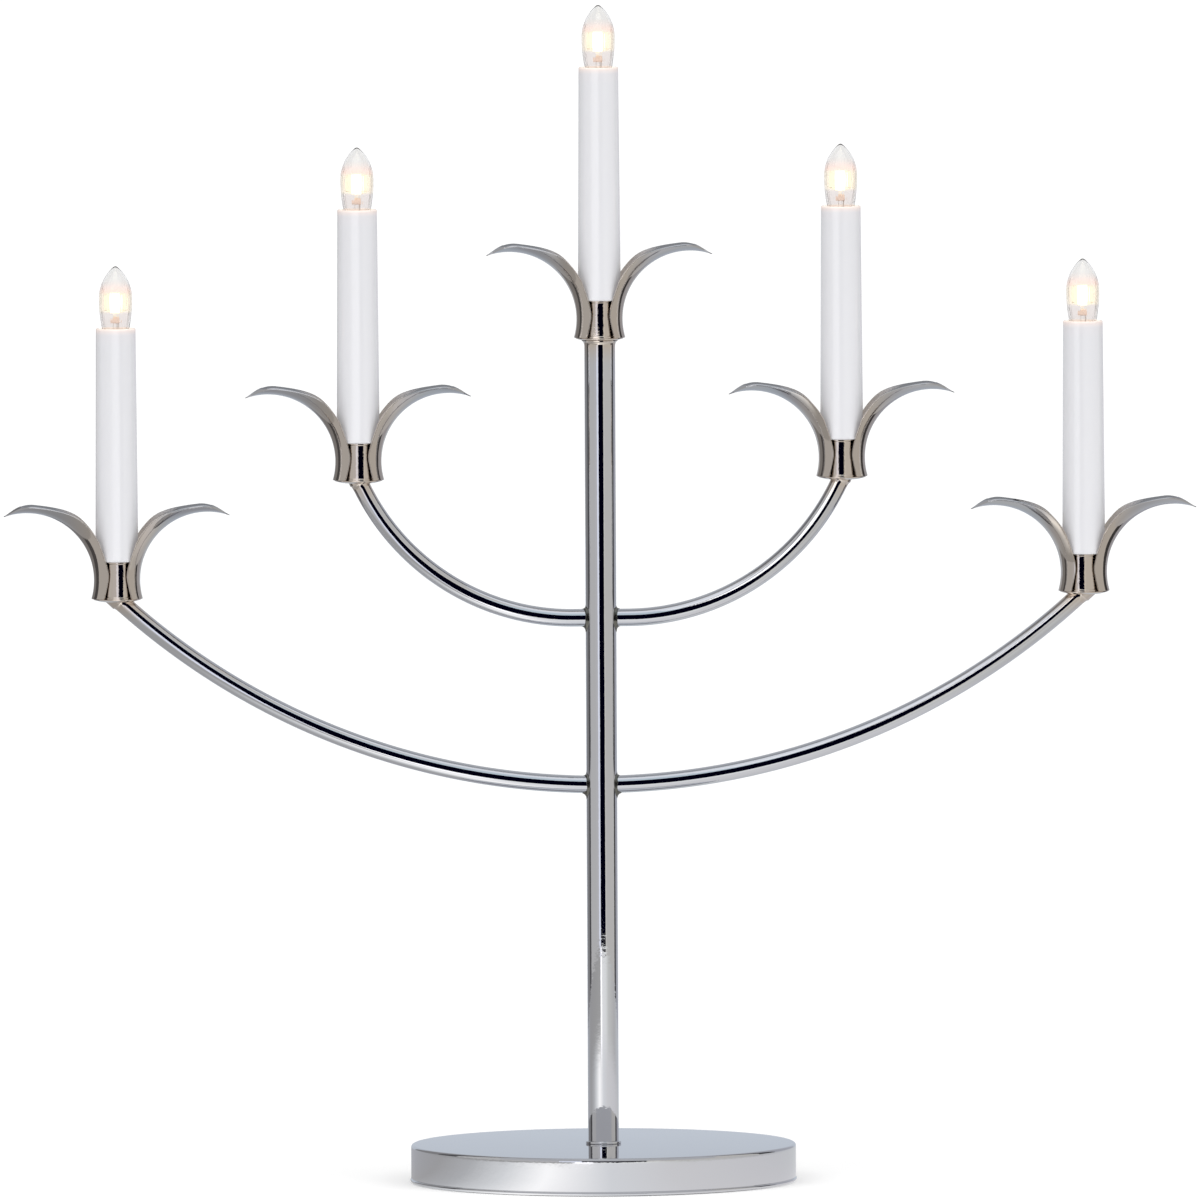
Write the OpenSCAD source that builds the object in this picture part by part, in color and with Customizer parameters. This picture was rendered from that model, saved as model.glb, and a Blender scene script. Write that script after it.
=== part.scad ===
// Five-light tabletop candelabra with electric candles.
// Millimetres, +Z up. The origin is the centre of the base's underside, at the resting surface.
// The arms reach out along X. The cord inlet is at the rear, towards +Y.

/* [Base] */
// Outer radius of the drum base
base_r = 87.5; // [75:0.5:110]
// Height of the base, from the resting surface to its top
base_h = 17.3; // [16.5:0.1:26]
// Sheet thickness of the base drum
base_wall = 1; // [0.8:0.1:1.6]
// Radius of the rounded edge between top and wall
base_edge_r = 1.2; // [0.6:0.1:2.4]
// Height of the rolled hem at the foot of the drum
hem_h = 1.6; // [1:0.1:2.2]
// How far the hem stands out from the wall
hem_out = 0.4; // [0.4:0.05:0.8]
// How far the hem folds in under the closing plate
hem_fold = 1.6; // [1:0.1:3]
// How far the foam pad stands below the hem
pad_drop = 0.4; // [0.2:0.1:0.8]
// Thickness of the closing plate
plate_t = 1; // [0.8:0.1:1.5]
// Radius of the hollow inside the ballast ring
weight_hollow_r = 60; // [45:1:66]
// Outer radius of the cord's passage through its bush
cord_hole_r = 2.7; // [2:0.1:3]
// Radius of the hole in the drum wall for the bush
bush_r = 3.8; // [3.5:0.1:4]
// Radius of the bush's two flanges
bush_flange_r = 5; // [4.6:0.1:5.4]

/* [Stem] */
// Outer radius of the stem tube
stem_r = 7; // [7:0.1:9]
// Wall of the stem tube
stem_wall = 1; // [0.6:0.1:1]
// Height of the collar ring where the stem meets the base
collar_h = 1.2; // [0.8:0.1:3]
// How far the collar ring stands out from the stem
collar_out = 1.1; // [0.6:0.1:2.5]
// Height of the centre candle's dish above the resting surface
centre_dish_z = 384.6; // [360:0.2:440]
// Width across the flats of the clamping nut
nut_flats = 21; // [20:0.5:24]
// Height of the clamping nut
nut_h = 4; // [3:0.1:4.5]
// Radius of the washer between nut and drum
washer_r = 14; // [12.5:0.5:18]
// Thickness of that washer
washer_t = 1.2; // [0.8:0.1:1.5]

/* [Arms] */
// Outer radius of the arm tubes
arm_r = 4; // [3.4:0.1:4.4]
// Wall of the arm tubes
arm_wall = 0.8; // [0.6:0.1:1]
// Distance from the stem's axis to the outer candles
outer_reach = 220; // [190:1:250]
// Height at which the outer arms leave the stem
outer_arm_z = 181; // [150:1:190]
// Bend radius of the outer arms
outer_bend_r = 323; // [300:1:400]
// Distance from the stem's axis to the inner candles
inner_reach = 110; // [104:1:114]
// Height at which the inner arms leave the stem
inner_arm_z = 257; // [240:1:270]
// Bend radius of the inner arms
inner_bend_r = 106.5; // [105:0.5:130]
// Straight length of an inner arm, from the stem's axis to where its bend starts
inner_straight = 12.5; // [10:0.5:16]
// How far the weld fillets stand out from the arm tubes
weld_out = 1.3; // [0.6:0.1:2]
// Length of the weld fillets along the arm tubes
weld_len = 3; // [2:0.1:4]

/* [Candle holders] */
// Radius of the dish that carries the leaves
dish_r = 11.2; // [11:0.1:13]
// Thickness of the dish at its rim
dish_rim_t = 0.9; // [0.6:0.1:1.4]
// Depth of the dish's conical underside, rim included
dish_depth = 2.8; // [2:0.1:4]
// Radius of the flat at the bottom of the dish
dish_foot_r = 7.2; // [7:0.1:9]
// Radius of the wire hole in the dish
dish_hole_r = 4.8; // [4.5:0.1:5.5]
// Outer radius of the socket tube that stands on the dish
socket_r = 8.3; // [8:0.1:8.8]
// Wall of the socket tube
socket_wall = 0.8; // [0.5:0.1:1]
// Height of the socket tube
socket_h = 17; // [12:0.5:20]
// How far the beads at the socket tube's ends stand out
socket_bead = 0.25; // [0.1:0.05:0.5]

/* [Leaves] */
// Sheet thickness of the leaves
leaf_t = 1; // [0.6:0.1:1.1]
// Distance from a holder's axis to the leaf's back at its waist
leaf_waist = 10.5; // [10.5:0.1:12]
// Height of the waist above the dish
leaf_waist_z = 8.5; // [7:0.5:10]
// Radius of the arch along the leaf's back
leaf_arch_r = 30.7; // [26:0.1:36]
// Radius of the leaf's rounded cross-section
leaf_curl_r = 12; // [11.8:0.1:13.5]
// Half angle that the cross-section wraps round at the foot
leaf_wrap = 61; // [50:1:64]
// Distance from a holder's axis to a leaf's tip
leaf_reach = 51.3; // [48:0.1:53]
// Distance from a holder's axis to where the leaf starts to narrow
leaf_taper_x = 15.5; // [12:0.5:22]
// Length of the pointed end, from shoulder to tip
leaf_point = 14; // [10:0.5:18]
// Half width of a leaf at the shoulder of its point
leaf_shoulder_w = 7.8; // [6:0.1:9]

/* [Candles] */
// Length of the candle sleeve above its socket tube
candle_len = 106; // [80:1:140]
// Outer radius of the sleeve at its foot
candle_foot_r = 10; // [9.8:0.1:10.2]
// Outer radius of the sleeve at its top
candle_top_r = 9; // [8.6:0.1:9.6]
// Radius of the sleeve's bore for the lampholder
candle_bore_r = 7.6; // [7.3:0.1:7.8]
// Radius of the narrower bore below it
candle_core_r = 6.4; // [5.5:0.1:6.6]
// Length of the spigot that stands in the socket tube
spigot_len = 8; // [5:0.5:11]
// Width of the bevel round the sleeve's mouth
mouth_bevel = 0.5; // [0.2:0.1:0.8]
// Depth from the sleeve's mouth to the lampholder's seat
holder_seat = 27; // [25:0.5:40]

/* [Bulbs] */
// Largest radius of the bulb's envelope
bulb_r = 7.5; // [7:0.1:8]
// Height of the widest place above the sleeve's mouth
bulb_widest_z = 13.5; // [11:0.5:16]
// Height of the bulb's tip above the sleeve's mouth
bulb_tip_z = 28.2; // [25:0.1:34]
// Wall of the envelope
bulb_wall = 0.7; // [0.5:0.1:1]
// Radius of the envelope where it meets the cap
bulb_neck_r = 4.95; // [4.85:0.05:5]
// Depth of that place below the sleeve's mouth
cap_top = 5.5; // [4.5:0.5:7]
// Outer radius of the screw cap's thread
cap_r = 4.75; // [4.5:0.01:4.8]
// Length of the screw cap's thread
cap_len = 9; // [8:0.1:10]
// Pitch of the screw cap's thread
cap_pitch = 1.81; // [1.6:0.01:2]
// Radius of the bulb's bottom contact
tip_contact_r = 1.7; // [1.2:0.1:2.2]

/* [Wiring] */
// Radius of an insulated wire
wire_r = 1.1; // [0.7:0.05:1.1]
// Length of the terminal block along X
terminal_l = 24; // [18:1:40]
// Width of the terminal block along Y
terminal_w = 16; // [12:1:24]
// Height of the terminal block
terminal_h = 10; // [8:0.5:11]
// Distance from the stem's axis to the terminal block
terminal_y = 16; // [15:1:24]

/* [Hidden] */
$fn = 96;
fit_gap = 0.05;          // radial clearance of pieces that plug into each other
touch_gap = 0.3;         // clearance between the bulb's contact and the socket's
wire_gap = 0.2;          // clearance between neighbouring wires
over = 1;                // how far cutting shapes run past a face

PLACES = ["outer_left", "inner_left", "centre", "inner_right", "outer_right"];
SIDES = ["left", "right"];

// Heights in the base
hem_z = pad_drop;
plate_z = hem_z + hem_h;
weight_z = plate_z + plate_t;
ceiling_z = base_h - base_wall;
nut_top_z = ceiling_z - washer_t;
stem_foot_z = nut_top_z - nut_h - 1;
bush_z = (plate_z + base_h - base_edge_r) / 2;
wire_run_z = weight_z + wire_r + 2;

// Radii in the base
shell_in_r = base_r - base_wall;
hem_in_r = shell_in_r - hem_fold;
weight_r = shell_in_r - 1;
bush_in_y = weight_r - 1.5;
bush_out_y = base_r + hem_out;

stem_in_r = stem_r - stem_wall;
arm_in_r = arm_r - arm_wall;
socket_in_r = socket_r - socket_wall;
wire_pitch = 2 * wire_r + wire_gap;

// Height of an arm's centreline at a distance x from the stem's axis
function arm_height(x, root_z, bend_r, straight) =
    root_z + bend_r - sqrt(pow(bend_r, 2) - pow(max(0, x - straight), 2));

outer_dish_z = arm_height(outer_reach, outer_arm_z, outer_bend_r, 0);
inner_dish_z = arm_height(inner_reach, inner_arm_z, inner_bend_r, inner_straight);

// The five holders from left to right: [x, height of the dish]
HOLDERS = [
    [-outer_reach, outer_dish_z],
    [-inner_reach, inner_dish_z],
    [0, centre_dish_z],
    [inner_reach, inner_dish_z],
    [outer_reach, outer_dish_z]
];

// The leaf is part of a ring-shaped shell about an axis beside the holder
arch_x = leaf_waist + leaf_arch_r;
arch_tube_r = leaf_arch_r + leaf_curl_r;
leaf_foot_w = leaf_curl_r * sin(leaf_wrap);
shoulder_x = leaf_reach - leaf_point;
// Half width that the narrowing sides would have at the holder's axis
leaf_root_w = leaf_foot_w + (leaf_foot_w - leaf_shoulder_w) * leaf_taper_x / (shoulder_x - leaf_taper_x);
// Radius of the two arcs that form the point, and how far their centres lie off the middle
point_r = (pow(leaf_point, 2) + pow(leaf_shoulder_w, 2)) / (2 * leaf_shoulder_w);
point_off = point_r - leaf_shoulder_w;

// Heights on a candle, from its sleeve's mouth
mouth_z = socket_h + candle_len;
cap_foot = cap_top + cap_len;
contact_foot = cap_foot + 2.7;
cavity_foot = contact_foot + 1.8;
holder_top = cap_top - 1;
cavity_r = cap_r + 0.5;
shell_r = cap_r + 0.08;
cap_in_r = cap_r - 0.75;
bulb_neck_in_r = cap_in_r - 0.6;

// Radii of the two arcs of the bulb's outline
flame_h = bulb_tip_z - bulb_widest_z;
flame_arc_r = (pow(flame_h, 2) + pow(bulb_r, 2)) / (2 * bulb_r);
taper_h = bulb_widest_z + cap_top;
taper_in = bulb_r - bulb_neck_r;
taper_arc_r = (pow(taper_h, 2) + pow(taper_in, 2)) / (2 * taper_in);

function placed(piece, names) = [for (n = names) str(piece, "_", n)];
function joined(lists) = [for (l = lists) for (n = l) n];

// ---------------------------------------------------------------- helpers

// A tube from z = low to z = high
module ring(out_r, in_r, low, high) {
    translate([0, 0, low]) difference() {
        cylinder(r = out_r, h = high - low);
        translate([0, 0, -over]) cylinder(r = in_r, h = high - low + 2 * over);
    }
}

// Puts its children at a holder's dish
module at_dish(holder) {
    translate([holder[0], 0, holder[1]]) children();
}

// Puts its children at the mouth of a holder's candle
module at_mouth(holder) {
    at_dish(holder) translate([0, 0, mouth_z]) children();
}

// ---------------------------------------------------------------- base

module base_outline() {
    edge_x = base_r - base_edge_r;
    edge_z = base_h - base_edge_r;
    translate([0, hem_z]) square([edge_x, base_h - hem_z]);
    translate([0, hem_z]) square([base_r, edge_z - hem_z]);
    translate([edge_x, edge_z]) circle(r = base_edge_r);
}

module hem_outline() {
    bead_r = hem_h / 2;
    bead_x = base_r + hem_out - bead_r;
    translate([hem_in_r, hem_z]) square([bead_x - hem_in_r, hem_h]);
    translate([bead_x, hem_z + bead_r]) circle(r = bead_r);
}

module bush_hole(r) {
    translate([0, bush_in_y - over, bush_z]) rotate([-90, 0, 0])
        cylinder(r = r, h = bush_out_y - bush_in_y + 2 * over);
}

module base_shell() {
    color("silver") difference() {
        rotate_extrude() {
            difference() {
                base_outline();
                translate([0, -over]) square([shell_in_r, ceiling_z + over]);
                square([stem_r + fit_gap, base_h + over]);
            }
            hem_outline();
        }
        bush_hole(bush_r + fit_gap);
    }
}

module base_plate() {
    color("dimgray") translate([0, 0, plate_z]) cylinder(r = shell_in_r - fit_gap, h = plate_t);
}

module base_weight() {
    slot_w = 2 * bush_flange_r + 1;
    color("dimgray") difference() {
        ring(weight_r, weight_hollow_r, weight_z, ceiling_z);
        translate([-slot_w / 2, 0, weight_z - over])
            cube([slot_w, base_r, ceiling_z - weight_z + 2 * over]);
    }
}

module base_pad() {
    color("black") cylinder(r = hem_in_r - fit_gap, h = plate_z);
}

// A flanged bush that snaps into the drum wall
module cord_bush() {
    color("gainsboro") difference() {
        union() {
            translate([0, bush_in_y, bush_z]) rotate([-90, 0, 0])
                cylinder(r = bush_r, h = bush_out_y - bush_in_y);
            difference() {
                translate([0, bush_in_y, bush_z]) rotate([-90, 0, 0])
                    cylinder(r = bush_flange_r, h = bush_out_y - bush_in_y);
                ring(base_r + fit_gap, shell_in_r - fit_gap, 0, base_h);
            }
        }
        bush_hole(cord_hole_r);
    }
}

// ---------------------------------------------------------------- terminal block and wiring

terminal_screw_r = 1.6;
terminal_screw_len = 4;
terminal_screw_pitch = terminal_l / 3;
wire_entry = 4;
wire_elbow_r = wire_r + fit_gap;   // the insulation swells a little in a bend

module terminal_screw_places() {
    for (i = [-1 : 1])
        translate([i * terminal_screw_pitch, terminal_y + terminal_w * 0.65, weight_z + terminal_h])
            children();
}

module terminal_block() {
    color("white") difference() {
        translate([-terminal_l / 2, terminal_y, weight_z])
            cube([terminal_l, terminal_w, terminal_h]);
        terminal_screw_places()
            translate([0, 0, -terminal_screw_len])
                cylinder(r = terminal_screw_r + fit_gap, h = terminal_screw_len + over);
        for (i = [-2 : 2])
            translate([i * wire_pitch, terminal_y - over, wire_run_z]) rotate([-90, 0, 0])
                cylinder(r = wire_r + fit_gap, h = wire_entry + over);
    }
}

module terminal_screws() {
    slot_w = 0.5;
    color("silver") terminal_screw_places() difference() {
        translate([0, 0, -terminal_screw_len])
            cylinder(r = terminal_screw_r, h = terminal_screw_len);
        translate([-slot_w / 2, -terminal_screw_r - over, -0.8])
            cube([slot_w, 2 * (terminal_screw_r + over), over + 1]);
    }
}

// The part of a wire from the terminal block up its own lane in the stem
module wire_lane(lane, top_z) {
    translate([lane, 0, wire_run_z]) {
        sphere(r = wire_elbow_r);
        rotate([-90, 0, 0]) cylinder(r = wire_r, h = terminal_y + wire_entry);
        cylinder(r = wire_r, h = top_z - wire_run_z);
    }
}

// The part of a wire that rises on a holder's axis to the lampholder's contact
module wire_riser(x, from_z, dish_z) {
    translate([x, 0, from_z]) {
        sphere(r = wire_elbow_r);
        cylinder(r = wire_r, h = dish_z + mouth_z - cavity_foot - from_z);
    }
}

module arm_wire(lane, reach, root_z, bend_r, straight) {
    lane_top = arm_height(lane, root_z, bend_r, straight);
    wire_lane(lane, lane_top);
    translate([lane, 0, lane_top]) sphere(r = wire_elbow_r);
    arm_sweep(wire_r, lane, reach, root_z, bend_r, straight);
    dish_z = arm_height(reach, root_z, bend_r, straight);
    wire_riser(reach, dish_z, dish_z);
}

module wiring_loom() {
    color("gainsboro") {
        wire_lane(0, centre_dish_z);
        wire_riser(0, centre_dish_z, centre_dish_z);
        for (side = [0, 1]) mirror([side, 0, 0]) {
            arm_wire(2 * wire_pitch, outer_reach, outer_arm_z, outer_bend_r, 0);
            arm_wire(wire_pitch, inner_reach, inner_arm_z, inner_bend_r, inner_straight);
        }
    }
}

// ---------------------------------------------------------------- stem

stem_top_z = centre_dish_z - dish_depth;

module stem_tube() {
    color("silver") difference() {
        ring(stem_r, stem_in_r, stem_foot_z, stem_top_z);
        for (z = [outer_arm_z, inner_arm_z])
            translate([-stem_r - over, 0, z]) rotate([0, 90, 0])
                cylinder(r = arm_in_r, h = 2 * (stem_r + over));
    }
}

module stem_collar() {
    color("silver") ring(stem_r + collar_out, stem_r + fit_gap, base_h, base_h + collar_h);
}

module stem_washer() {
    color("silver") ring(washer_r, stem_r + fit_gap, nut_top_z, ceiling_z);
}

module stem_nut() {
    color("goldenrod") translate([0, 0, nut_top_z - nut_h]) difference() {
        cylinder(r = nut_flats / 2 / cos(30), h = nut_h, $fn = 6);
        translate([0, 0, -over]) cylinder(r = stem_r + fit_gap, h = nut_h + 2 * over);
    }
}

// ---------------------------------------------------------------- arms

// A rod along an arm's centreline, from x = from_x to x = to_x
module arm_sweep(r, from_x, to_x, root_z, bend_r, straight) {
    start = asin(max(0, from_x - straight) / bend_r);
    end = asin((to_x - straight) / bend_r);
    if (from_x < straight)
        translate([from_x, 0, root_z]) rotate([0, 90, 0]) cylinder(r = r, h = straight - from_x);
    translate([straight, 0, root_z + bend_r]) rotate([90, 0, 0]) rotate([0, 0, start - 90])
        rotate_extrude(angle = end - start) translate([bend_r, 0]) circle(r = r);
}

// Everything above the underside of the dish
module above_dish(reach, dish_z) {
    translate([reach, 0, dish_z]) rotate_extrude() polygon([
        [0, -dish_depth],
        [dish_foot_r, -dish_depth],
        [dish_r, -dish_rim_t],
        [3 * dish_r, -dish_rim_t],
        [3 * dish_r, dish_r],
        [0, dish_r]
    ]);
}

// A weld fillet round an arm, thickest at z = 0 and running out along +Z
module weld(run) {
    bite = 0.3;
    cylinder(r1 = arm_r + weld_out, r2 = arm_r - bite, h = run * (weld_out + bite) / weld_out);
}

module arm(reach, root_z, bend_r, straight) {
    dish_z = arm_height(reach, root_z, bend_r, straight);
    slope = asin((reach - straight) / bend_r);
    past = 4;
    difference() {
        union() {
            arm_sweep(arm_r, 0, reach + past * cos(slope), root_z, bend_r, straight);
            translate([stem_r - over, 0, root_z]) rotate([0, 90, 0]) weld(weld_len + over);
            translate([reach, 0, dish_z]) rotate([0, 90 - slope, 0])
                translate([0, 0, weld_len]) mirror([0, 0, 1]) weld(3 * weld_len);
        }
        arm_sweep(arm_in_r, 0, reach + (past + over) * cos(slope), root_z, bend_r, straight);
        above_dish(reach, dish_z);
        translate([0, 0, root_z - 3 * arm_r]) cylinder(r = stem_r, h = 6 * arm_r);
    }
}

module arm_outer(side) {
    color("silver") mirror([side == "left" ? 1 : 0, 0, 0])
        arm(outer_reach, outer_arm_z, outer_bend_r, 0);
}

module arm_inner(side) {
    color("silver") mirror([side == "left" ? 1 : 0, 0, 0])
        arm(inner_reach, inner_arm_z, inner_bend_r, inner_straight);
}

// ---------------------------------------------------------------- candle holders

module cup() {
    bead_h = 0.7;
    bead_r = socket_r + socket_bead;
    color("silver") {
        rotate_extrude() polygon([
            [dish_hole_r, -dish_depth],
            [dish_foot_r, -dish_depth],
            [dish_r, -dish_rim_t],
            [dish_r, 0],
            [bead_r, 0],
            [bead_r, bead_h],
            [socket_r, bead_h],
            [socket_r, socket_h - bead_h],
            [bead_r, socket_h - bead_h],
            [bead_r, socket_h],
            [socket_in_r, socket_h],
            [socket_in_r, 0],
            [dish_hole_r, 0]
        ]);
    }
}

// Half width of the pointed end, whose two sides are arcs, at a distance from the shoulder
function point_half_width(along) = sqrt(pow(point_r, 2) - pow(along, 2)) - point_off;

// The leaf's outline seen from above: a long taper with a pointed end
module leaf_blade() {
    steps = 10;
    point_side = [for (i = [0 : steps])
        let (along = leaf_point * i / steps) [shoulder_x + along, point_half_width(along)]];
    upper = concat([[0, leaf_root_w]], point_side);
    lower = [for (i = [steps - 1 : -1 : 0]) [point_side[i][0], -point_side[i][1]]];
    polygon(concat(upper, lower, [[0, -leaf_root_w]]));
}

// The strip of a ring's section that faces the arch's axis
module leaf_section() {
    wedge = 2 * leaf_curl_r;
    translate([arch_tube_r, 0]) intersection() {
        difference() {
            circle(r = leaf_curl_r);
            circle(r = leaf_curl_r - leaf_t);
        }
        polygon([
            [0, 0],
            [-wedge * cos(leaf_wrap), wedge * sin(leaf_wrap)],
            [-wedge, wedge * sin(leaf_wrap)],
            [-wedge, -wedge * sin(leaf_wrap)],
            [-wedge * cos(leaf_wrap), -wedge * sin(leaf_wrap)]
        ]);
    }
}

// One leaf, on the +X side of its holder
module leaf() {
    foot_angle = 30;
    sweep_angle = 150;
    tall = 2 * leaf_arch_r;
    intersection() {
        translate([arch_x, 0, leaf_waist_z]) rotate([90, 0, 0])
            rotate([0, 0, 180 - (sweep_angle - foot_angle)])
                rotate_extrude(angle = sweep_angle) leaf_section();
        linear_extrude(height = tall) leaf_blade();
    }
}

module leaf_left() {
    color("silver") mirror([1, 0, 0]) leaf();
}

module leaf_right() {
    color("silver") leaf();
}

// ---------------------------------------------------------------- candles

// All of these are drawn from the sleeve's mouth downwards
module candle_sleeve() {
    color("white") rotate_extrude() polygon([
        [candle_bore_r, 0],
        [candle_top_r - mouth_bevel, 0],
        [candle_top_r, -mouth_bevel],
        [candle_foot_r, -candle_len],
        [socket_in_r - fit_gap, -candle_len],
        [socket_in_r - fit_gap, -candle_len - spigot_len],
        [candle_core_r, -candle_len - spigot_len],
        [candle_core_r, -holder_seat],
        [candle_bore_r, -holder_seat]
    ]);
}

module lampholder() {
    hole_r = wire_r + 0.4;
    difference() {
        ring(candle_bore_r - fit_gap, hole_r, -holder_seat, -holder_top);
        translate([0, 0, -cavity_foot]) cylinder(r = cavity_r, h = cavity_foot);
    }
}

module socket_shell() {
    ring(cavity_r - fit_gap, shell_r, -cavity_foot, -cap_top - 0.5);
}

module socket_contact() {
    plate_t = 0.5;
    translate([0, 0, -cavity_foot]) {
        cylinder(r = cap_r - 1.5, h = plate_t);
        cylinder(r = tip_contact_r, h = cavity_foot - contact_foot - touch_gap);
    }
}

module lampholders() {
    color("ivory") for (h = HOLDERS) at_mouth(h) lampholder();
}

module socket_shells() {
    color("goldenrod") for (h = HOLDERS) at_mouth(h) socket_shell();
}

module socket_contacts() {
    color("goldenrod") for (h = HOLDERS) at_mouth(h) socket_contact();
}

// ---------------------------------------------------------------- bulbs

// The bulb's solid outline from tip to neck, shrunk by inset on every side
module bulb_body(inset) {
    big = 4 * bulb_tip_z;
    translate([0, 0, bulb_widest_z]) rotate_extrude() intersection() {
        translate([bulb_r - flame_arc_r, 0]) circle(r = flame_arc_r - inset);
        square([big, big]);
    }
    translate([0, 0, -cap_top]) rotate_extrude() intersection() {
        translate([bulb_r - taper_arc_r, taper_h]) circle(r = taper_arc_r - inset);
        translate([0, inset]) square([big, taper_h - inset]);
    }
}

module bulb_envelope() {
    neck_len = 3.5;
    color("mistyrose", 0.5) difference() {
        union() {
            bulb_body(0);
            translate([0, 0, -cap_top - neck_len]) cylinder(r = cap_in_r - fit_gap, h = neck_len + over);
        }
        bulb_body(bulb_wall);
        translate([0, 0, -cap_top - neck_len - over])
            cylinder(r = bulb_neck_in_r, h = neck_len + 2 * over);
    }
}

module bulb_cap() {
    shoulder_h = 1.6;
    rib_r = 0.35;
    ribs = floor((cap_len - 2) / cap_pitch);
    color("silver") difference() {
        union() {
            translate([0, 0, -cap_foot]) cylinder(r = cap_r - rib_r / 2 - 0.1, h = cap_len);
            translate([0, 0, -cap_foot - shoulder_h])
                cylinder(r1 = tip_contact_r + 0.8, r2 = cap_r - rib_r, h = shoulder_h);
            for (i = [0 : ribs])
                translate([0, 0, -cap_top - 1 - i * cap_pitch])
                    rotate_extrude() translate([cap_r - rib_r, 0]) circle(r = rib_r, $fn = 32);
        }
        translate([0, 0, 0.5 - cap_foot]) cylinder(r = cap_in_r, h = cap_len);
        translate([0, 0, -cap_foot - 2]) cylinder(r = tip_contact_r + fit_gap, h = cap_len);
    }
}

module bulb_contact() {
    color("gainsboro") translate([0, 0, -contact_foot])
        cylinder(r = tip_contact_r, h = contact_foot - cap_foot + 0.5);
}

// A light-emitting diode on two legs, with the small board that carries it in the neck
module bulb_led() {
    leg_r = 0.3;
    leg_x = 0.7;
    led_r = 1.6;
    led_z = 5;
    led_h = 4;
    board_t = 0.8;
    board_z = -cap_top - 3;
    color("khaki") {
        translate([0, 0, board_z]) cylinder(r = bulb_neck_in_r - fit_gap, h = board_t);
        for (x = [-leg_x, leg_x])
            translate([x, 0, board_z]) cylinder(r = leg_r, h = led_z - board_z + 0.5);
        translate([0, 0, led_z]) cylinder(r = led_r, h = led_h);
        translate([0, 0, led_z + led_h]) sphere(r = led_r);
    }
}

// ---------------------------------------------------------------- assembly

base_shell();
base_plate();
base_weight();
base_pad();
cord_bush();
terminal_block();
terminal_screws();
stem_tube();
stem_collar();
stem_washer();
stem_nut();
wiring_loom();
lampholders();
socket_shells();
socket_contacts();
for (side = SIDES) {
    arm_outer(side);
    arm_inner(side);
}
for (i = [0 : len(HOLDERS) - 1]) {
    at_dish(HOLDERS[i]) cup();
    at_dish(HOLDERS[i]) leaf_left();
    at_dish(HOLDERS[i]) leaf_right();
    at_mouth(HOLDERS[i]) candle_sleeve();
    at_mouth(HOLDERS[i]) bulb_envelope();
    at_mouth(HOLDERS[i]) bulb_cap();
    at_mouth(HOLDERS[i]) bulb_contact();
    at_mouth(HOLDERS[i]) bulb_led();
}
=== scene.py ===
"""Looks of a five-light tabletop candelabra with electric candles.

It is laid out as an add-on: property groups hold the sizes and colours, one operator makes each
group of like pieces, and main() calls them in order.
"""

import math

import bmesh
import bpy
from bpy.props import FloatProperty, FloatVectorProperty, IntProperty, PointerProperty
from mathutils import Matrix, Vector, noise


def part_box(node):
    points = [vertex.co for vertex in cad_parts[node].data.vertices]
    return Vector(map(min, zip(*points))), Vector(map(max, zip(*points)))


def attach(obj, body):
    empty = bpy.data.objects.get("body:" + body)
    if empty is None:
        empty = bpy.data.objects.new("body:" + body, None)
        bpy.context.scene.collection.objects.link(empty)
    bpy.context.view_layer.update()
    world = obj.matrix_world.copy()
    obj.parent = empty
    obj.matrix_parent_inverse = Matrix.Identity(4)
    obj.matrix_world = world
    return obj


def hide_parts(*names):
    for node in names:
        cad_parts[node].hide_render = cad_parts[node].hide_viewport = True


bl_info = {
    "name": "Candelabra Dresser",
    "version": (1, 0, 0),
    "blender": (4, 5, 0),
    "location": "3D View > Sidebar > Candelabra",
    "description": "Models and finishes the visible pieces of a five-light candelabra",
    "category": "Add Mesh",
}

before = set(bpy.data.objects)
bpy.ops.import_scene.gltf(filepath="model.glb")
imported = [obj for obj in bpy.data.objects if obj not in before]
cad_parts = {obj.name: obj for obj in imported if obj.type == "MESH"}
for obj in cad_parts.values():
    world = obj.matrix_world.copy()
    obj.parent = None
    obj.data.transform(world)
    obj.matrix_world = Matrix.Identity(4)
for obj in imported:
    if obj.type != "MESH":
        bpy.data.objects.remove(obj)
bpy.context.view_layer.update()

MM = 0.001
FIT_GAP = 0.05 * MM         # clearance of pieces that plug into each other
MERGE = 1e-7                # points nearer than this are one
CORNER_STEPS = 4            # steps round a small rounded corner
CREASE = 35.0               # edges that turn by more than this angle are creased
WARM_REFLECTION_RUN = 12 * MM         # how far the painted warm reflection runs down a tube from its cup
DISH_BITE = 0.15 * MM       # how far an arm and its weld run into the dish
STAND = "stand"
PLACES = ("outer_left", "inner_left", "centre", "inner_right", "outer_right")
SIDES = {"left": -1, "right": 1}


# ---------------------------------------------------------------- places taken from the frame

def node_radius(name):
    """Half the width of a round node."""
    low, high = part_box(name)
    return (high.x - low.x) / 2


STEM_R = node_radius("stem_tube")
HEM_R = node_radius("base_shell")
PAD_R = node_radius("base_pad")
BASE_FOOT, BASE_TOP = (corner.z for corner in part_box("base_shell"))


class Holder:
    """Where a candle is held: the x of the upright axis, and heights."""

    def __init__(self, place):
        size = settings("holders")
        low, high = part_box(f"cup_{place}")
        self.place = place
        self.x = 0.0 if place == "centre" else (low.x + high.x) / 2
        self.dish = low.z + size.dish_depth
        self.under = self.dish - size.dish_under    # the flat under the dish, where the arm or the stem ends
        self.socket = high.z
        self.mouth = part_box(f"candle_sleeve_{place}")[1].z


def holders():
    return [Holder(place) for place in PLACES]


# ---------------------------------------------------------------- sizes and colours

def length(name, default, description):
    """A length in metres, given in millimetres."""
    return FloatProperty(name=name, default=default * MM, description=description, unit="LENGTH",
                         precision=5)


def metres(name, default, description):
    return FloatProperty(name=name, default=default, description=description, unit="LENGTH")


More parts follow.
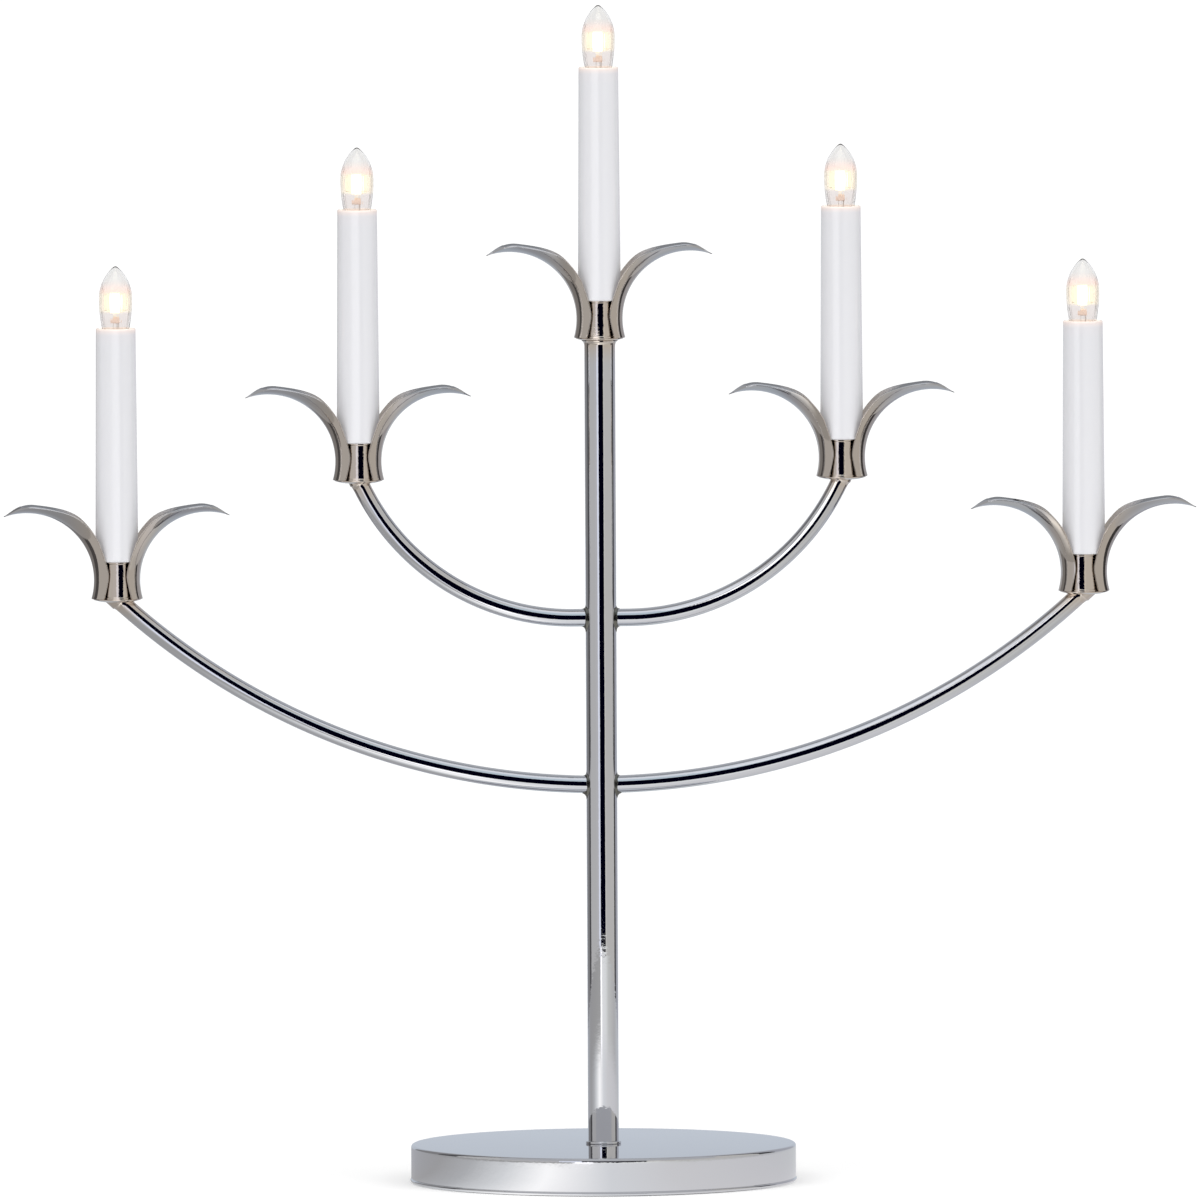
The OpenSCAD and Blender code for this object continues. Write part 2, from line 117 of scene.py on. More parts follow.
def tilt(name, default, description):
    """An angle, given in degrees."""
    return FloatProperty(name=name, default=math.radians(default), description=description,
                         subtype="ANGLE")


def count(name, default, description):
    return IntProperty(name=name, default=default, description=description)


def tint(name, default, what):
    return FloatVectorProperty(name=name, default=default, description=f"Colour of the {what}",
                               subtype="COLOR", size=3, min=0.0, max=4.0)


class CandelabraBase(bpy.types.PropertyGroup):
    wall: length("Wall", 1.0, "Sheet thickness of the drum")
    edge: length("Edge Radius", 1.2, "Radius of the rounded edge between top and side")
    hem_height: length("Hem Height", 1.6, "Height of the rolled hem")
    hem_out: length("Hem Overhang", 0.4, "How far the hem stands out from the side")
    groove: length("Groove", 0.18, "Depth of the crease above the hem")
    bush_hole: length("Bush Hole", 3.85, "Radius of the hole for the cord's bush")
    bush_bore: length("Bush Bore", 2.7, "Radius of the bush's bore")
    steps: count("Steps", 288, "Steps round the drum")


class CandelabraTubes(bpy.types.PropertyGroup):
    outer_root: length("Outer Root", 181.0, "Height of the outer arms' roots")
    inner_root: length("Inner Root", 257.0, "Height of the inner arms' roots")
    inner_straight: length("Inner Straight", 12.5, "Where the inner arms start to bend")
    tube: length("Tube Radius", 4.0, "Outer radius of the arm tubes")
    stem_wall: length("Stem Wall", 1.0, "Wall of the stem")
    weld: length("Weld", 1.5, "How far a weld stands out from its tube")
    weld_run: length("Weld Run", 2.4, "How far a weld runs along its tube")
    stem_weld: length("Stem Weld", 1.2, "How far the weld under the centre cup stands out")
    stem_weld_run: length("Stem Weld Run", 2.6, "How far the weld under the centre cup runs down")
    steps: count("Steps", 72, "Steps round a tube")
    stem_steps: count("Stem Steps", 144, "Steps round the stem")


class CandelabraHolders(bpy.types.PropertyGroup):
    dish_rim: length("Dish Rim", 0.45, "Thickness of the dish at its rim")
    dish_depth: length("Dish Depth", 2.8, "Height of the dish's top over the foot of its solid")
    dish_under: length("Dish Underside", 1.25, "Depth of the dish's flat cone")
    dish_inset: length("Dish Inset", 0.4, "How far the rim lies inside the leaves' feet")
    dish_foot: length("Dish Foot", 7.9, "Radius of the flat under the dish")
    dish_hole: length("Dish Hole", 4.8, "Radius of the wire hole")
    socket: length("Socket Radius", 8.3, "Outer radius of the socket tube")
    socket_wall: length("Socket Wall", 0.8, "Wall of the socket tube")
    bead: length("Bead", 0.25, "How far the socket's end beads stand out")
    bead_height: length("Bead Height", 0.7, "Height of an end bead")
    steps: count("Steps", 144, "Steps round a cup")


class CandelabraLeaves(bpy.types.PropertyGroup):
    sheet: length("Sheet", 1.0, "Sheet thickness")
    waist: length("Waist", 10.5, "From the holder's axis to the leaf's back at its waist")
    waist_height: length("Waist Height", 8.5, "Height of the waist above the dish")
    arch: length("Arch Radius", 30.7, "Radius of the arch along the leaf's back")
    curl: length("Curl Radius", 12.0, "Radius of the cross-section along the arch")
    foot_curl: length("Foot Curl Radius", 9.3, "Radius of the cross-section below the waist")
    spread: length("Spread Height", 26.0, "Height from which the leaf has its full width")
    foot_half: length("Foot Half Width", 8.3, "Half width at the foot")
    full_half: length("Full Half Width", 10.5, "Half width where the leaf starts to narrow")
    reach: length("Reach", 51.3, "From the holder's axis to the tip")
    taper: length("Taper Start", 15.5, "From the holder's axis to where the leaf narrows")
    point: length("Point", 14.0, "Length of the pointed end")
    shoulder: length("Shoulder", 7.8, "Half width at the shoulder of the point")
    edge: length("Edge Radius", 0.28, "Radius of the rounded edge of the sheet")
    thinning: length("Thinning", 8.0, "Length of the thinner tip")
    # The leaves' painted warm reflection fades out over this run.
    warm_reflection_run: length("Warm Reflection Run", 18.0, "How far from the waist the plate stays warm")
    steps_along: count("Steps Along", 110, "Steps from foot to tip")
    steps_across: count("Steps Across", 28, "Steps from edge to edge")


class CandelabraCandles(bpy.types.PropertyGroup):
    top: length("Top Radius", 9.0, "Outer radius of the sleeve at its mouth")
    bore: length("Bore", 7.6, "Radius of the bore for the lampholder")
    core: length("Core", 6.4, "Radius of the narrower bore")
    spigot: length("Spigot", 8.0, "Length of the spigot in the socket")
    seat: length("Seat", 27.0, "Depth of the lampholder's seat")
    lip: length("Lip", 0.55, "Radius of the rounded rim of the mouth")
    steps: count("Steps", 128, "Steps round a sleeve")


class CandelabraBulbs(bpy.types.PropertyGroup):
    widest: length("Widest", 13.5, "Height of the widest place above the sleeve's mouth, as all heights here")
    neck: length("Neck", 4.95, "Radius where the glass meets the cap")
    cap_top: length("Cap Top", 5.5, "Depth of that place below the mouth")
    wall: length("Wall", 0.7, "Wall of the glass")
    tip: length("Tip Radius", 1.4, "Radius of the rounded tip")
    ribs: count("Ribs", 30, "Number of upright ribs in the glass")
    rib_depth: length("Rib Depth", 0.14, "Depth of the ribs")
    cap: length("Cap Radius", 4.75, "Outer radius of the screw thread")
    cap_length: length("Cap Length", 9.0, "Length of the screw thread")
    pitch: length("Pitch", 1.81, "Pitch of the screw thread")
    diode: length("Diode Radius", 2.3, "Radius of the light-emitting diode")
    diode_height: length("Diode Height", 2.4, "Height of the diode's foot")
    diode_length: length("Diode Length", 2.9, "Length of the diode")
    core: length("Core Radius", 2.2, "Radius of the bright core of the light guide")
    guide: length("Guide Radius", 5.2, "Radius of the clear light guide round the core")
    guide_foot: length("Guide Foot", 8.0, "Height of the light guide's foot")
    guide_top: length("Guide Top", 16.0, "Height of the light guide's top")
    steps: count("Steps", 180, "Steps round a bulb")
    part_steps: count("Part Steps", 48, "Steps round a piece inside a bulb")


class CandelabraFinish(bpy.types.PropertyGroup):
    chrome: tint("Chrome", (0.72, 0.72, 0.735), "chromium plate")
    # A painted warm reflection near the cups, and the cups' whole colour.
    warm_reflection: tint("Warm Reflection", (0.74, 0.655, 0.575), "plate near the cups' welds")
    # The leaves' tones are a painted reflection: warm at the foot, darker at the tip.
    leaf_foot_reflection: tint("Leaf Foot Reflection", (0.63, 0.565, 0.50), "leaves' plate at the foot")
    leaf_tip_reflection: tint("Leaf Tip Reflection", (0.54, 0.535, 0.54), "leaves' plate at the tip")
    # The welds' dark colour is a painted dark reflection.
    weld: tint("Weld", (0.16, 0.155, 0.135), "plated welds")
    candle: tint("Candle", (0.86, 0.86, 0.89), "candle sleeves")
    glow: tint("Glow", (1.0, 0.92, 0.72), "lamplight")
    diode: tint("Diode", (0.88, 0.70, 0.60), "diode's resin")
    legs: tint("Diode Legs", (0.66, 0.58, 0.52), "diode's legs")
    board: tint("Diode Board", (0.72, 0.66, 0.56), "board under the diode")
    guide: tint("Light Guide", (1.0, 0.96, 0.86), "light guide")
    nickel: tint("Nickel", (0.66, 0.62, 0.55), "screw caps")
    solder: tint("Solder", (0.55, 0.55, 0.56), "solder contacts")
    brass: tint("Brass", (0.78, 0.60, 0.30), "brass pieces")
    steel: tint("Steel", (0.55, 0.56, 0.58), "zinc-plated pieces")
    iron: tint("Iron", (0.12, 0.12, 0.13), "ballast casting")
    foam: tint("Foam", (0.02, 0.02, 0.02), "foam pad")
    bush: tint("Bush", (0.72, 0.72, 0.71), "cord's bush")
    block: tint("Terminal Block", (0.82, 0.82, 0.78), "terminal block")
    holder: tint("Lampholder", (0.80, 0.78, 0.72), "lampholders")
    wire: tint("Wire", (0.75, 0.75, 0.75), "wires")


class CandelabraStage(bpy.types.PropertyGroup):
    azimuth: tilt("Azimuth", -3.0, "Angle of the camera round the stem")
    elevation: tilt("Elevation", 3.9, "Angle of the camera above the horizon")
    roll: tilt("Roll", -0.28, "Tilt of the camera about its own axis")
    distance: metres("Distance", 20.0, "Distance from the camera to the object")
    view_width: metres("View Width", 0.5454, "Width of the view at the stem")
    view_height: metres("View Height", 0.2650, "Height of the view's middle at the stem")
    view_shift: metres("View Shift", -0.0004, "Sideways place of the view's middle")
    tent: metres("Tent Radius", 0.6, "Radius of the reflection tent")
    tent_top: metres("Tent Height", 1.3, "Height of the reflection tent")
    floor: metres("Floor Radius", 14.0, "Radius of the floor")


GROUPS = {
    "base": CandelabraBase,
    "tubes": CandelabraTubes,
    "holders": CandelabraHolders,
    "leaves": CandelabraLeaves,
    "candles": CandelabraCandles,
    "bulbs": CandelabraBulbs,
    "finish": CandelabraFinish,
    "stage": CandelabraStage,
}


def settings(group):
    return getattr(bpy.context.scene, f"candelabra_{group}")


# ---------------------------------------------------------------- outlines and meshes

def arc(middle, radius, start, end, steps=6):
    """Points (radius, height) on an arc, with angles in degrees from the outward direction."""
    angles = [math.radians(start + (end - start) * i / steps) for i in range(steps + 1)]
    return [(middle[0] + radius * math.cos(a), middle[1] + radius * math.sin(a)) for a in angles]


def flare(radius, out, run, steps=8):
    """Points (radius, distance from the joint) on the hollow curve of a weld, from the joint to the tube."""
    turns = [math.pi / 2 * i / steps for i in range(steps + 1)]
    return [(radius + out * (1 - math.sin(t)), run * (1 - math.cos(t))) for t in turns]


def rounded(points, radius, steps=CORNER_STEPS):
    """A closed outline with each of its corners rounded, as far as the corner's sides allow."""
    made = []
    for i, point in enumerate(points):
        corner = Vector(point)
        before = Vector(points[i - 1]) - corner
        after = Vector(points[(i + 1) % len(points)]) - corner
        reach = min(radius, before.length * 0.45, after.length * 0.45)
        start = corner + before.normalized() * reach
        end = corner + after.normalized() * reach
        for k in range(steps + 1):
            t = k / steps
            made.append(tuple(start * (1 - t) ** 2 + corner * 2 * t * (1 - t) + end * t ** 2))
    return made


def close_seams(bm):
    bmesh.ops.remove_doubles(bm, verts=bm.verts, dist=MERGE)
    bmesh.ops.recalc_face_normals(bm, faces=bm.faces)


def spun(outline, axis_x=0.0, steps=96, closed=True):
    """An outline of (radius, height) points spun a full turn round an upright axis."""
    bm = bmesh.new()
    verts = [bm.verts.new((axis_x + r, 0, z)) for r, z in outline]
    edges = [bm.edges.new(pair) for pair in zip(verts, verts[1:] + (verts[:1] if closed else []))]
    bmesh.ops.spin(bm, geom=verts + edges, cent=(axis_x, 0, 0), axis=(0, 0, 1), angle=math.tau,
                   steps=steps, use_merge=True)
    close_seams(bm)
    return bm


def add_rod(bm, radius, run, segments, matrix):
    bmesh.ops.create_cone(bm, cap_ends=True, segments=segments, radius1=radius, radius2=radius, depth=run,
                          matrix=matrix)


def store(bm, name, share):
    """Keeps a number for each point, worked out from its place, for the material to read."""
    layer = bm.verts.layers.float.new(name)
    for vert in bm.verts:
        vert[layer] = share(vert.co)


def store_warm_reflection(bm, top):
    """Marks where the plate gets a painted warm reflection, near a tube's top."""
    store(bm, "warm_reflection_mask", lambda p: smooth(1 - (top - p.z) / WARM_REFLECTION_RUN))


def smooth(t):
    """An even step from 0 to 1 for t from 0 to 1."""
    t = min(1.0, max(0.0, t))
    return t * t * (3 - 2 * t)


# ---------------------------------------------------------------- pieces

def shade(mesh, crease=CREASE):
    """Smooth faces with creased corners."""
    mesh.polygons.foreach_set("use_smooth", [True] * len(mesh.polygons))
    mesh.set_sharp_from_angle(angle=math.radians(crease))


def make_object(name, bm, material, crease=CREASE):
    """Turns a bmesh into an object at the origin."""
    mesh = bpy.data.meshes.new(name)
    bm.to_mesh(mesh)
    bm.free()
    mesh.materials.append(material)
    shade(mesh, crease)
    piece = bpy.data.objects.new(name, mesh)
    bpy.context.scene.collection.objects.link(piece)
    return piece


def dress(piece, body=STAND, nodes=()):
    """Fastens a piece to its body and hides the nodes that it stands for."""
    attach(piece, body)
    if nodes:
        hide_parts(*nodes)


def add_piece(name, bm, material, body=STAND, nodes=(), crease=CREASE):
    dress(make_object(name, bm, material, crease), body, nodes)


# ---------------------------------------------------------------- materials

def rgba(colour):
    return (*colour, 1)


def node(tree, kind, inputs=None, **values):
    """Adds a node, sets its properties and fills its inputs with values or other nodes' outputs."""
    made = tree.nodes.new(f"ShaderNode{kind}")
    for name, value in values.items():
        setattr(made, name, value)
    for name, value in (inputs or {}).items():
        if isinstance(value, bpy.types.NodeSocket):
            tree.links.new(value, made.inputs[name])
        else:
            made.inputs[name].default_value = value
    return made


def calculate(tree, operation, *inputs, **values):
    return node(tree, "Math", dict(enumerate(inputs)), operation=operation, **values).outputs[0]


def noisy(tree, place, scale, detail, roughness=0.5):
    inputs = {"Vector": place, "Scale": scale, "Detail": detail, "Roughness": roughness}
    return node(tree, "TexNoise", inputs).outputs["Fac"]


def object_place(tree):
    return node(tree, "TexCoord").outputs["Object"]


def stored(tree, name):
    return node(tree, "Attribute", attribute_name=name).outputs["Fac"]


def bumped(tree, height, depth):
    """The normal of a surface with a height whose depth is in millimetres."""
    return node(tree, "Bump", {"Height": height, "Strength": 1.0, "Distance": depth * MM}).outputs["Normal"]


def ramp(tree, factor, stops):
    """A colour that follows a factor. stops are (factor, colour)."""
    made = node(tree, "ValToRGB", {"Fac": factor})
    points = made.color_ramp.elements
    while len(points) < len(stops):
        points.new(0.5)
    for point, (place, colour) in zip(points, stops):
        point.position = place
        point.color = rgba(colour)
    return made.outputs["Color"]


def mixed(tree, factor, first, second):
    """One shader where the factor is 0 and another where it is 1."""
    return node(tree, "MixShader", {"Fac": factor, 1: first, 2: second}).outputs[0]


def emission(tree, colour, strength=1.0):
    return node(tree, "Emission", {"Color": colour, "Strength": strength}).outputs[0]


def principled(tree, colour, **inputs):
    """A principled shader. The inputs' names are in small letters, with underscores for spaces."""
    named = {name.replace("_", " ").title().replace("Ior", "IOR"): value for name, value in inputs.items()}
    return node(tree, "BsdfPrincipled", {"Base Color": colour, **named}).outputs[0]


def new_material(name):
    """A material without nodes, and its tree."""
    material = bpy.data.materials.new(name)
    material.use_nodes = True
    material.node_tree.nodes.clear()
    return material, material.node_tree


def surfaced(material, shader):
    """The material with the shader as its surface."""
    node(material.node_tree, "OutputMaterial", {"Surface": shader})
    return material


def plating_group():
    """A node group: the tiny dents and the handling marks of a plated surface."""
    name = "Plating Marks"
    if name in bpy.data.node_groups:
        return bpy.data.node_groups[name]
    group = bpy.data.node_groups.new(name, "ShaderNodeTree")
    face = group.interface
    face.new_socket("Vector", in_out="INPUT", socket_type="NodeSocketVector")
    for label, value in (("Dent Scale", 420.0), ("Polish", 0.03), ("Smudge", 0.03)):
        face.new_socket(label, in_out="INPUT", socket_type="NodeSocketFloat").default_value = value
    for label in ("Height", "Roughness"):
        face.new_socket(label, in_out="OUTPUT", socket_type="NodeSocketFloat")
    given = group.nodes.new("NodeGroupInput").outputs
    wanted = group.nodes.new("NodeGroupOutput").inputs
    place = given["Vector"]
    wave_height, clean, smudged = 2.5, 0.45, 0.75
    dents = noisy(group, place, given["Dent Scale"], 2.0, 0.55)
    waves = noisy(group, place, 60.0, 1.0)
    group.links.new(calculate(group, "MULTIPLY_ADD", waves, wave_height, dents), wanted["Height"])
    patches = node(group, "MapRange", {"Value": noisy(group, place, 28.0, 5.0, 0.65), "From Min": clean,
                                       "From Max": smudged}).outputs["Result"]
    marks = calculate(group, "MULTIPLY_ADD", patches, given["Smudge"], given["Polish"])
    group.links.new(marks, wanted["Roughness"])
    return group


def plated(name, colour, polish=0.03, smudge=0.03, dent_scale=420.0, dent=0.02, warm=None):
    """Polished plating: a metal with marks from the plating group, with a painted warm reflection mixed in
    where the stored mask says so.
    """
    material, tree = new_material(name)
    tone = rgba(colour)
    if warm:
        tone = node(tree, "Mix", data_type="RGBA",
                    inputs={"Factor": stored(tree, "warm_reflection_mask"), 6: tone, 7: rgba(warm)}).outputs[2]
    marks = node(tree, "Group", node_tree=plating_group(), inputs={
        "Vector": object_place(tree), "Dent Scale": dent_scale, "Polish": polish, "Smudge": smudge}).outputs
    normal = bumped(tree, marks["Height"], dent)
    plate = principled(tree, tone, metallic=1.0, roughness=marks["Roughness"], normal=normal)
    return surfaced(material, plate)


def moulded(name, colour, roughness=0.4, grain_scale=900.0, grain=0.01, **inputs):
    """Moulded or cast stuff: an even colour with a fine grain."""
    material, tree = new_material(name)
    normal = bumped(tree, noisy(tree, object_place(tree), grain_scale, 3.0), grain)
    return surfaced(material, principled(tree, rgba(colour), roughness=roughness, normal=normal, **inputs))


# What the height stands for, and the colours that follow it: on a sleeve from its seat to its mouth, and on a
# bulb from its sleeve's mouth to its tip.
SLEEVE_OUTSIDE = 0.97       # height at the outside's top, where the bright wall inside the mouth has 1
BLACK = (0, 0, 0)
SLEEVE_GLOW = (
    (0.0, BLACK), (0.90, BLACK), (0.945, (0.02, 0.004, 0.0)), (0.960, (0.13, 0.045, 0.0)),
    (0.970, (0.30, 0.16, 0.05)), (1.0, (0.60, 0.50, 0.40)),
)
# The warm band from 0.28 to 0.54, over the glowing light guide, is a painted cast of its glow.
GLASS_TINTS = (
    (0.0, (0.89, 0.86, 0.85)), (0.24, (0.90, 0.87, 0.86)), (0.28, (0.97, 0.93, 0.87)),
    (0.54, (0.97, 0.93, 0.87)), (0.59, (0.95, 0.88, 0.84)), (0.67, (0.94, 0.89, 0.87)),
    (0.78, (0.91, 0.905, 0.90)), (1.0, (0.91, 0.91, 0.905)),
)
GLASS_HAZE = (
    (0.0, BLACK), (0.24, BLACK), (0.28, (0.02, 0.014, 0.006)), (0.53, (0.02, 0.014, 0.006)),
    (0.60, (0.03, 0.01, 0.005)), (0.72, BLACK),
)


def candle_material():
    """Glossy white plastic that lets a little lamplight through at the mouth."""
    material, tree = new_material("candle_plastic")
    glow = ramp(tree, stored(tree, "height"), SLEEVE_GLOW)
    return surfaced(material, principled(
        tree, rgba(settings("finish").candle), roughness=0.22, coat_weight=0.4, coat_roughness=0.08,
        emission_color=glow, emission_strength=1.0))


def glass_material():
    """Clear glass with a faint haze of lamplight and a painted warm cast over the glow, open to shadow rays.
    """
    material, tree = new_material("bulb_glass")
    height = stored(tree, "height")
    glass = principled(tree, ramp(tree, height, GLASS_TINTS), roughness=0.02, transmission_weight=1.0,
                       ior=1.3, emission_color=ramp(tree, height, GLASS_HAZE), emission_strength=1.0)
    clear = node(tree, "BsdfTransparent", {"Color": (0.95, 0.95, 0.94, 1)}).outputs[0]
    shadow = node(tree, "LightPath").outputs["Is Shadow Ray"]
    return surfaced(material, mixed(tree, shadow, glass, clear))


def guide_material():
    """Clear resin full of warm lamplight."""
    finish = settings("finish")
    material, tree = new_material("light_guide")
    faint, bright = ([c * share for c in finish.glow] for share in (0.03, 0.10))
    glow = ramp(tree, noisy(tree, object_place(tree), 900.0, 2.0), ((0.35, faint), (0.65, bright)))
    return surfaced(material, principled(
        tree, rgba(finish.guide), roughness=0.12, transmission_weight=1.0, ior=1.15, emission_color=glow,
        emission_strength=1.0))


def lit_material(name, colour, strength):
    material, tree = new_material(name)
    return surfaced(material, principled(
        tree, rgba(colour), roughness=0.3, emission_color=rgba(colour), emission_strength=strength))


def chrome_material():
    """The tubes' and the drum's plate, made once, with a painted warm reflection near the cups."""
    name, finish = "tube_plate", settings("finish")
    return bpy.data.materials.get(name) or plated(name, finish.chrome, warm=finish.warm_reflection)


# ---------------------------------------------------------------- operators

class CANDELABRA_OT_base(bpy.types.Operator):
    """Spin the drum base with its rounded edge and rolled hem, and cut the hole for the bush"""
    bl_idname = "candelabra.base"
    bl_label = "Base Drum"

    def execute(self, context):
        size = settings("base")
        side_r = HEM_R - size.hem_out
        inner_r = side_r - size.wall
        hole_r = STEM_R + FIT_GAP
        pad_r = PAD_R + FIT_GAP
        ceiling = BASE_TOP - size.wall
        bead_r = size.hem_height / 2
        hem_top = BASE_FOOT + size.hem_height
        bush_z = sum(corner.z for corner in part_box("cord_bush")) / 2
        above, below = bush_z + 1.5 * size.bush_hole, bush_z - 1.5 * size.bush_hole
        outline = [
            (hole_r, BASE_TOP), *arc((side_r - size.edge, BASE_TOP - size.edge), size.edge, 90, 0, 10),
            (side_r, above), (side_r, bush_z), (side_r, below),
            (side_r, hem_top + size.groove), (side_r - size.groove, hem_top),
            *arc((HEM_R - bead_r, BASE_FOOT + bead_r), bead_r, 60, -90, 12),
            (pad_r, BASE_FOOT), (pad_r, hem_top), (inner_r, hem_top), (inner_r, below), (inner_r, above),
            (inner_r, ceiling), (hole_r, ceiling),
        ]
        shell = make_object("base_drum", spun(outline, steps=size.steps), chrome_material())
        bm = bmesh.new()
        turn = Matrix.Translation((0, side_r, bush_z)) @ Matrix.Rotation(math.pi / 2, 4, "X")
        add_rod(bm, size.bush_hole, 20 * MM, 64, turn)
        self.cut(shell, make_object("bush_cutter", bm, chrome_material()))
        dress(shell, nodes=["base_shell"])
        return {"FINISHED"}

    def cut(self, piece, cutter):
        """Cuts one object out of another and removes the cutter."""
        hole = piece.modifiers.new("Hole", "BOOLEAN")
        hole.operation = "DIFFERENCE"
        hole.solver = "EXACT"
        hole.object = cutter
        bpy.context.view_layer.update()
        graph = bpy.context.evaluated_depsgraph_get()
        mesh = bpy.data.meshes.new_from_object(piece.evaluated_get(graph))
        piece.modifiers.clear()
        piece.data = mesh
        shade(mesh)
        bpy.data.objects.remove(cutter)


class CANDELABRA_OT_stem(bpy.types.Operator):
    """Spin the stem tube, its collar and the weld under the centre cup"""
    bl_idname = "candelabra.stem"
    bl_label = "Stem"

    def execute(self, context):
        size = settings("tubes")
        steps = size.stem_steps
        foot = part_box("stem_tube")[0].z
        top = Holder("centre").under
        inner_r = STEM_R - size.stem_wall
        outline = rounded([(inner_r, foot), (STEM_R, foot), (STEM_R, top), (inner_r, top)], 0.2 * MM)
        lower_half = outline[:len(outline) // 2]
        rings = [(STEM_R, top - WARM_REFLECTION_RUN * k / 6) for k in range(6, 0, -1)]
        bm = spun(lower_half + rings + outline[len(lower_half):], steps=steps)
        # The stem's top gets the painted warm reflection near the centre cup.
        store_warm_reflection(bm, top)
        add_piece("stem", bm, chrome_material(), nodes=["stem_tube"])
        low, high = (corner.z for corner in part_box("stem_collar"))
        collar_r = node_radius("stem_collar")
        outline = rounded([(STEM_R, low), (collar_r, low), (collar_r, high), (STEM_R, high)], 0.45 * MM, 6)
        add_piece("collar", spun(outline, steps=steps), chrome_material(), nodes=["stem_collar"])
        joint = top - 0.3 * MM
        curve = [(r, joint - away) for r, away in
                 flare(STEM_R + 0.02 * MM, size.stem_weld, size.stem_weld_run, 10)]
        bm = spun([(STEM_R + size.stem_weld, top), *curve, (STEM_R - 0.3 * MM, joint - size.stem_weld_run),
                   (STEM_R - 0.3 * MM, top)], steps=steps)
        # The weld under the centre cup has the painted warm reflection all over.
        store(bm, "warm_reflection_mask", lambda p: 1.0)
        add_piece("weld_centre", bm, chrome_material())
        return {"FINISHED"}


def arm_bend(reach, root, straight, dish):
    """Bend radius of an arm that starts level and ends at a dish."""
    run = reach - straight
    rise = dish - root
    return (run * run + rise * rise) / (2 * rise)


def sweep_arm(size, start, straight, root, bend, end_angle):
    """A tube's outside, swept along a level stretch and an upward bend, towards +X."""
    bm = bmesh.new()
    turn = Matrix.Translation((start, 0, root)) @ Matrix.Rotation(math.pi / 2, 4, "Y")
    ring = bmesh.ops.create_circle(bm, cap_ends=False, segments=size.steps, radius=size.tube,
                                   matrix=turn)["verts"]
    edges = list({e for v in ring for e in v.link_edges})
    if straight > start:
        out = bmesh.ops.extrude_edge_only(bm, edges=edges)["geom"]
        ring = [g for g in out if isinstance(g, bmesh.types.BMVert)]
        edges = [g for g in out if isinstance(g, bmesh.types.BMEdge) and all(v in ring for v in g.verts)]
        bmesh.ops.translate(bm, verts=ring, vec=(straight - start, 0, 0))
    bmesh.ops.spin(bm, geom=ring + edges, cent=(straight, 0, root + bend), axis=(0, -1, 0),
                   angle=end_angle, steps=90, use_merge=False)
    return bm


def cut_flat(bm, height):
    """Cuts everything above a height away and closes the cut."""
    geom = bm.verts[:] + bm.edges[:] + bm.faces[:]
    bmesh.ops.bisect_plane(bm, geom=geom, plane_co=(0, 0, height), plane_no=(0, 0, 1), clear_outer=True)
    bmesh.ops.holes_fill(bm, edges=[e for e in bm.edges if e.is_boundary])


class CANDELABRA_OT_arms(bpy.types.Operator):
    """Bend the four arm tubes and lay the welds at their ends"""
    bl_idname = "candelabra.arms"
    bl_label = "Arms"

    def execute(self, context):
        size = settings("tubes")
        for side, sign in SIDES.items():
            self.make_arm(size, f"outer_{side}", sign, size.outer_root, 0.0, 0.0)
            self.make_arm(size, f"inner_{side}", sign, size.inner_root, size.inner_straight, STEM_R - 2 * MM)
        return {"FINISHED"}

    def make_arm(self, size, place, sign, root, straight, start):
        holder = Holder(place)
        reach = abs(holder.x)
        bend = arm_bend(reach, root, straight, holder.dish)
        slope = math.asin((reach - straight) / bend)
        past_dish = 0.04
        bm = sweep_arm(size, start, straight, root, bend, slope + past_dish)
        cut_flat(bm, holder.under + DISH_BITE)
        # A painted warm reflection near the cup.
        store_warm_reflection(bm, holder.under)
        self.finish(bm, sign, f"arm_tube_{place}", chrome_material(), [f"arm_{place}"])
        self.root_weld(size, sign, place, root)
        joint = Vector((reach - (holder.dish - holder.under) / math.tan(slope), 0, holder.under))
        self.cup_weld(size, sign, place, joint, slope)

    def weld(self, size, out, run, back, matrix):
        """A ring round an arm whose hollow outside runs out along it, away from the side of its back."""
        inner_r = size.tube - 0.2 * MM
        sign = -1 if back > 0 else 1
        curve = [(r, sign * away) for r, away in flare(size.tube, out, run)]
        bm = spun([(size.tube + out, back), *curve, (inner_r, sign * run), (inner_r, back)], steps=64)
        bmesh.ops.transform(bm, matrix=matrix, verts=bm.verts)
        return bm

    def root_weld(self, size, sign, place, root):
        """The fillet round an arm where it meets the stem, flat at its sides and with a drop below."""
        flattening, sag, lumps, lump_scale = 0.78, 0.5 * MM, 0.25 * MM, 420
        run = 0.75 * size.weld_run
        turn = Matrix.Translation((STEM_R, 0, root)) @ Matrix.Rotation(math.pi / 2, 4, "Y")
        bm = self.weld(size, size.weld, run, -3.2 * MM, turn)
        for vert in bm.verts:
            drop = max(0.0, root - vert.co.z) / size.tube
            vert.co.z -= sag * drop * drop * max(0.0, 1 - (vert.co.x - STEM_R) / run)
            vert.co.y *= flattening
        bm.normal_update()
        for vert in bm.verts:
            vert.co += vert.normal * lumps * noise.noise(vert.co * lump_scale)
        finish = settings("finish")
        # The welds' dark colour is a painted dark reflection.
        plate = bpy.data.materials.get("weld_dark_reflection") or plated(
            "weld_dark_reflection", finish.weld, polish=0.22, smudge=0.2, dent_scale=900.0, dent=0.08)
        self.finish(bm, sign, f"weld_root_{place}", plate, [])

    def cup_weld(self, size, sign, place, joint, slope):
        """The flare of an arm's upper end where it meets the dish."""
        turn = Matrix.Translation(joint) @ Matrix.Rotation(math.pi / 2 - slope, 4, "Y")
        bm = self.weld(size, 0.45 * size.weld, 1.1 * size.weld_run, 5 * MM, turn)
        cut_flat(bm, joint.z + DISH_BITE)
        # The flare has the painted warm reflection all over.
        store(bm, "warm_reflection_mask", lambda p: 1.0)
        self.finish(bm, sign, f"weld_cup_{place}", chrome_material(), [])

    def finish(self, bm, sign, name, material, nodes):
        if sign < 0:
            bmesh.ops.scale(bm, vec=(-1, 1, 1), verts=bm.verts)
        close_seams(bm)
        add_piece(name, bm, material, nodes=nodes)


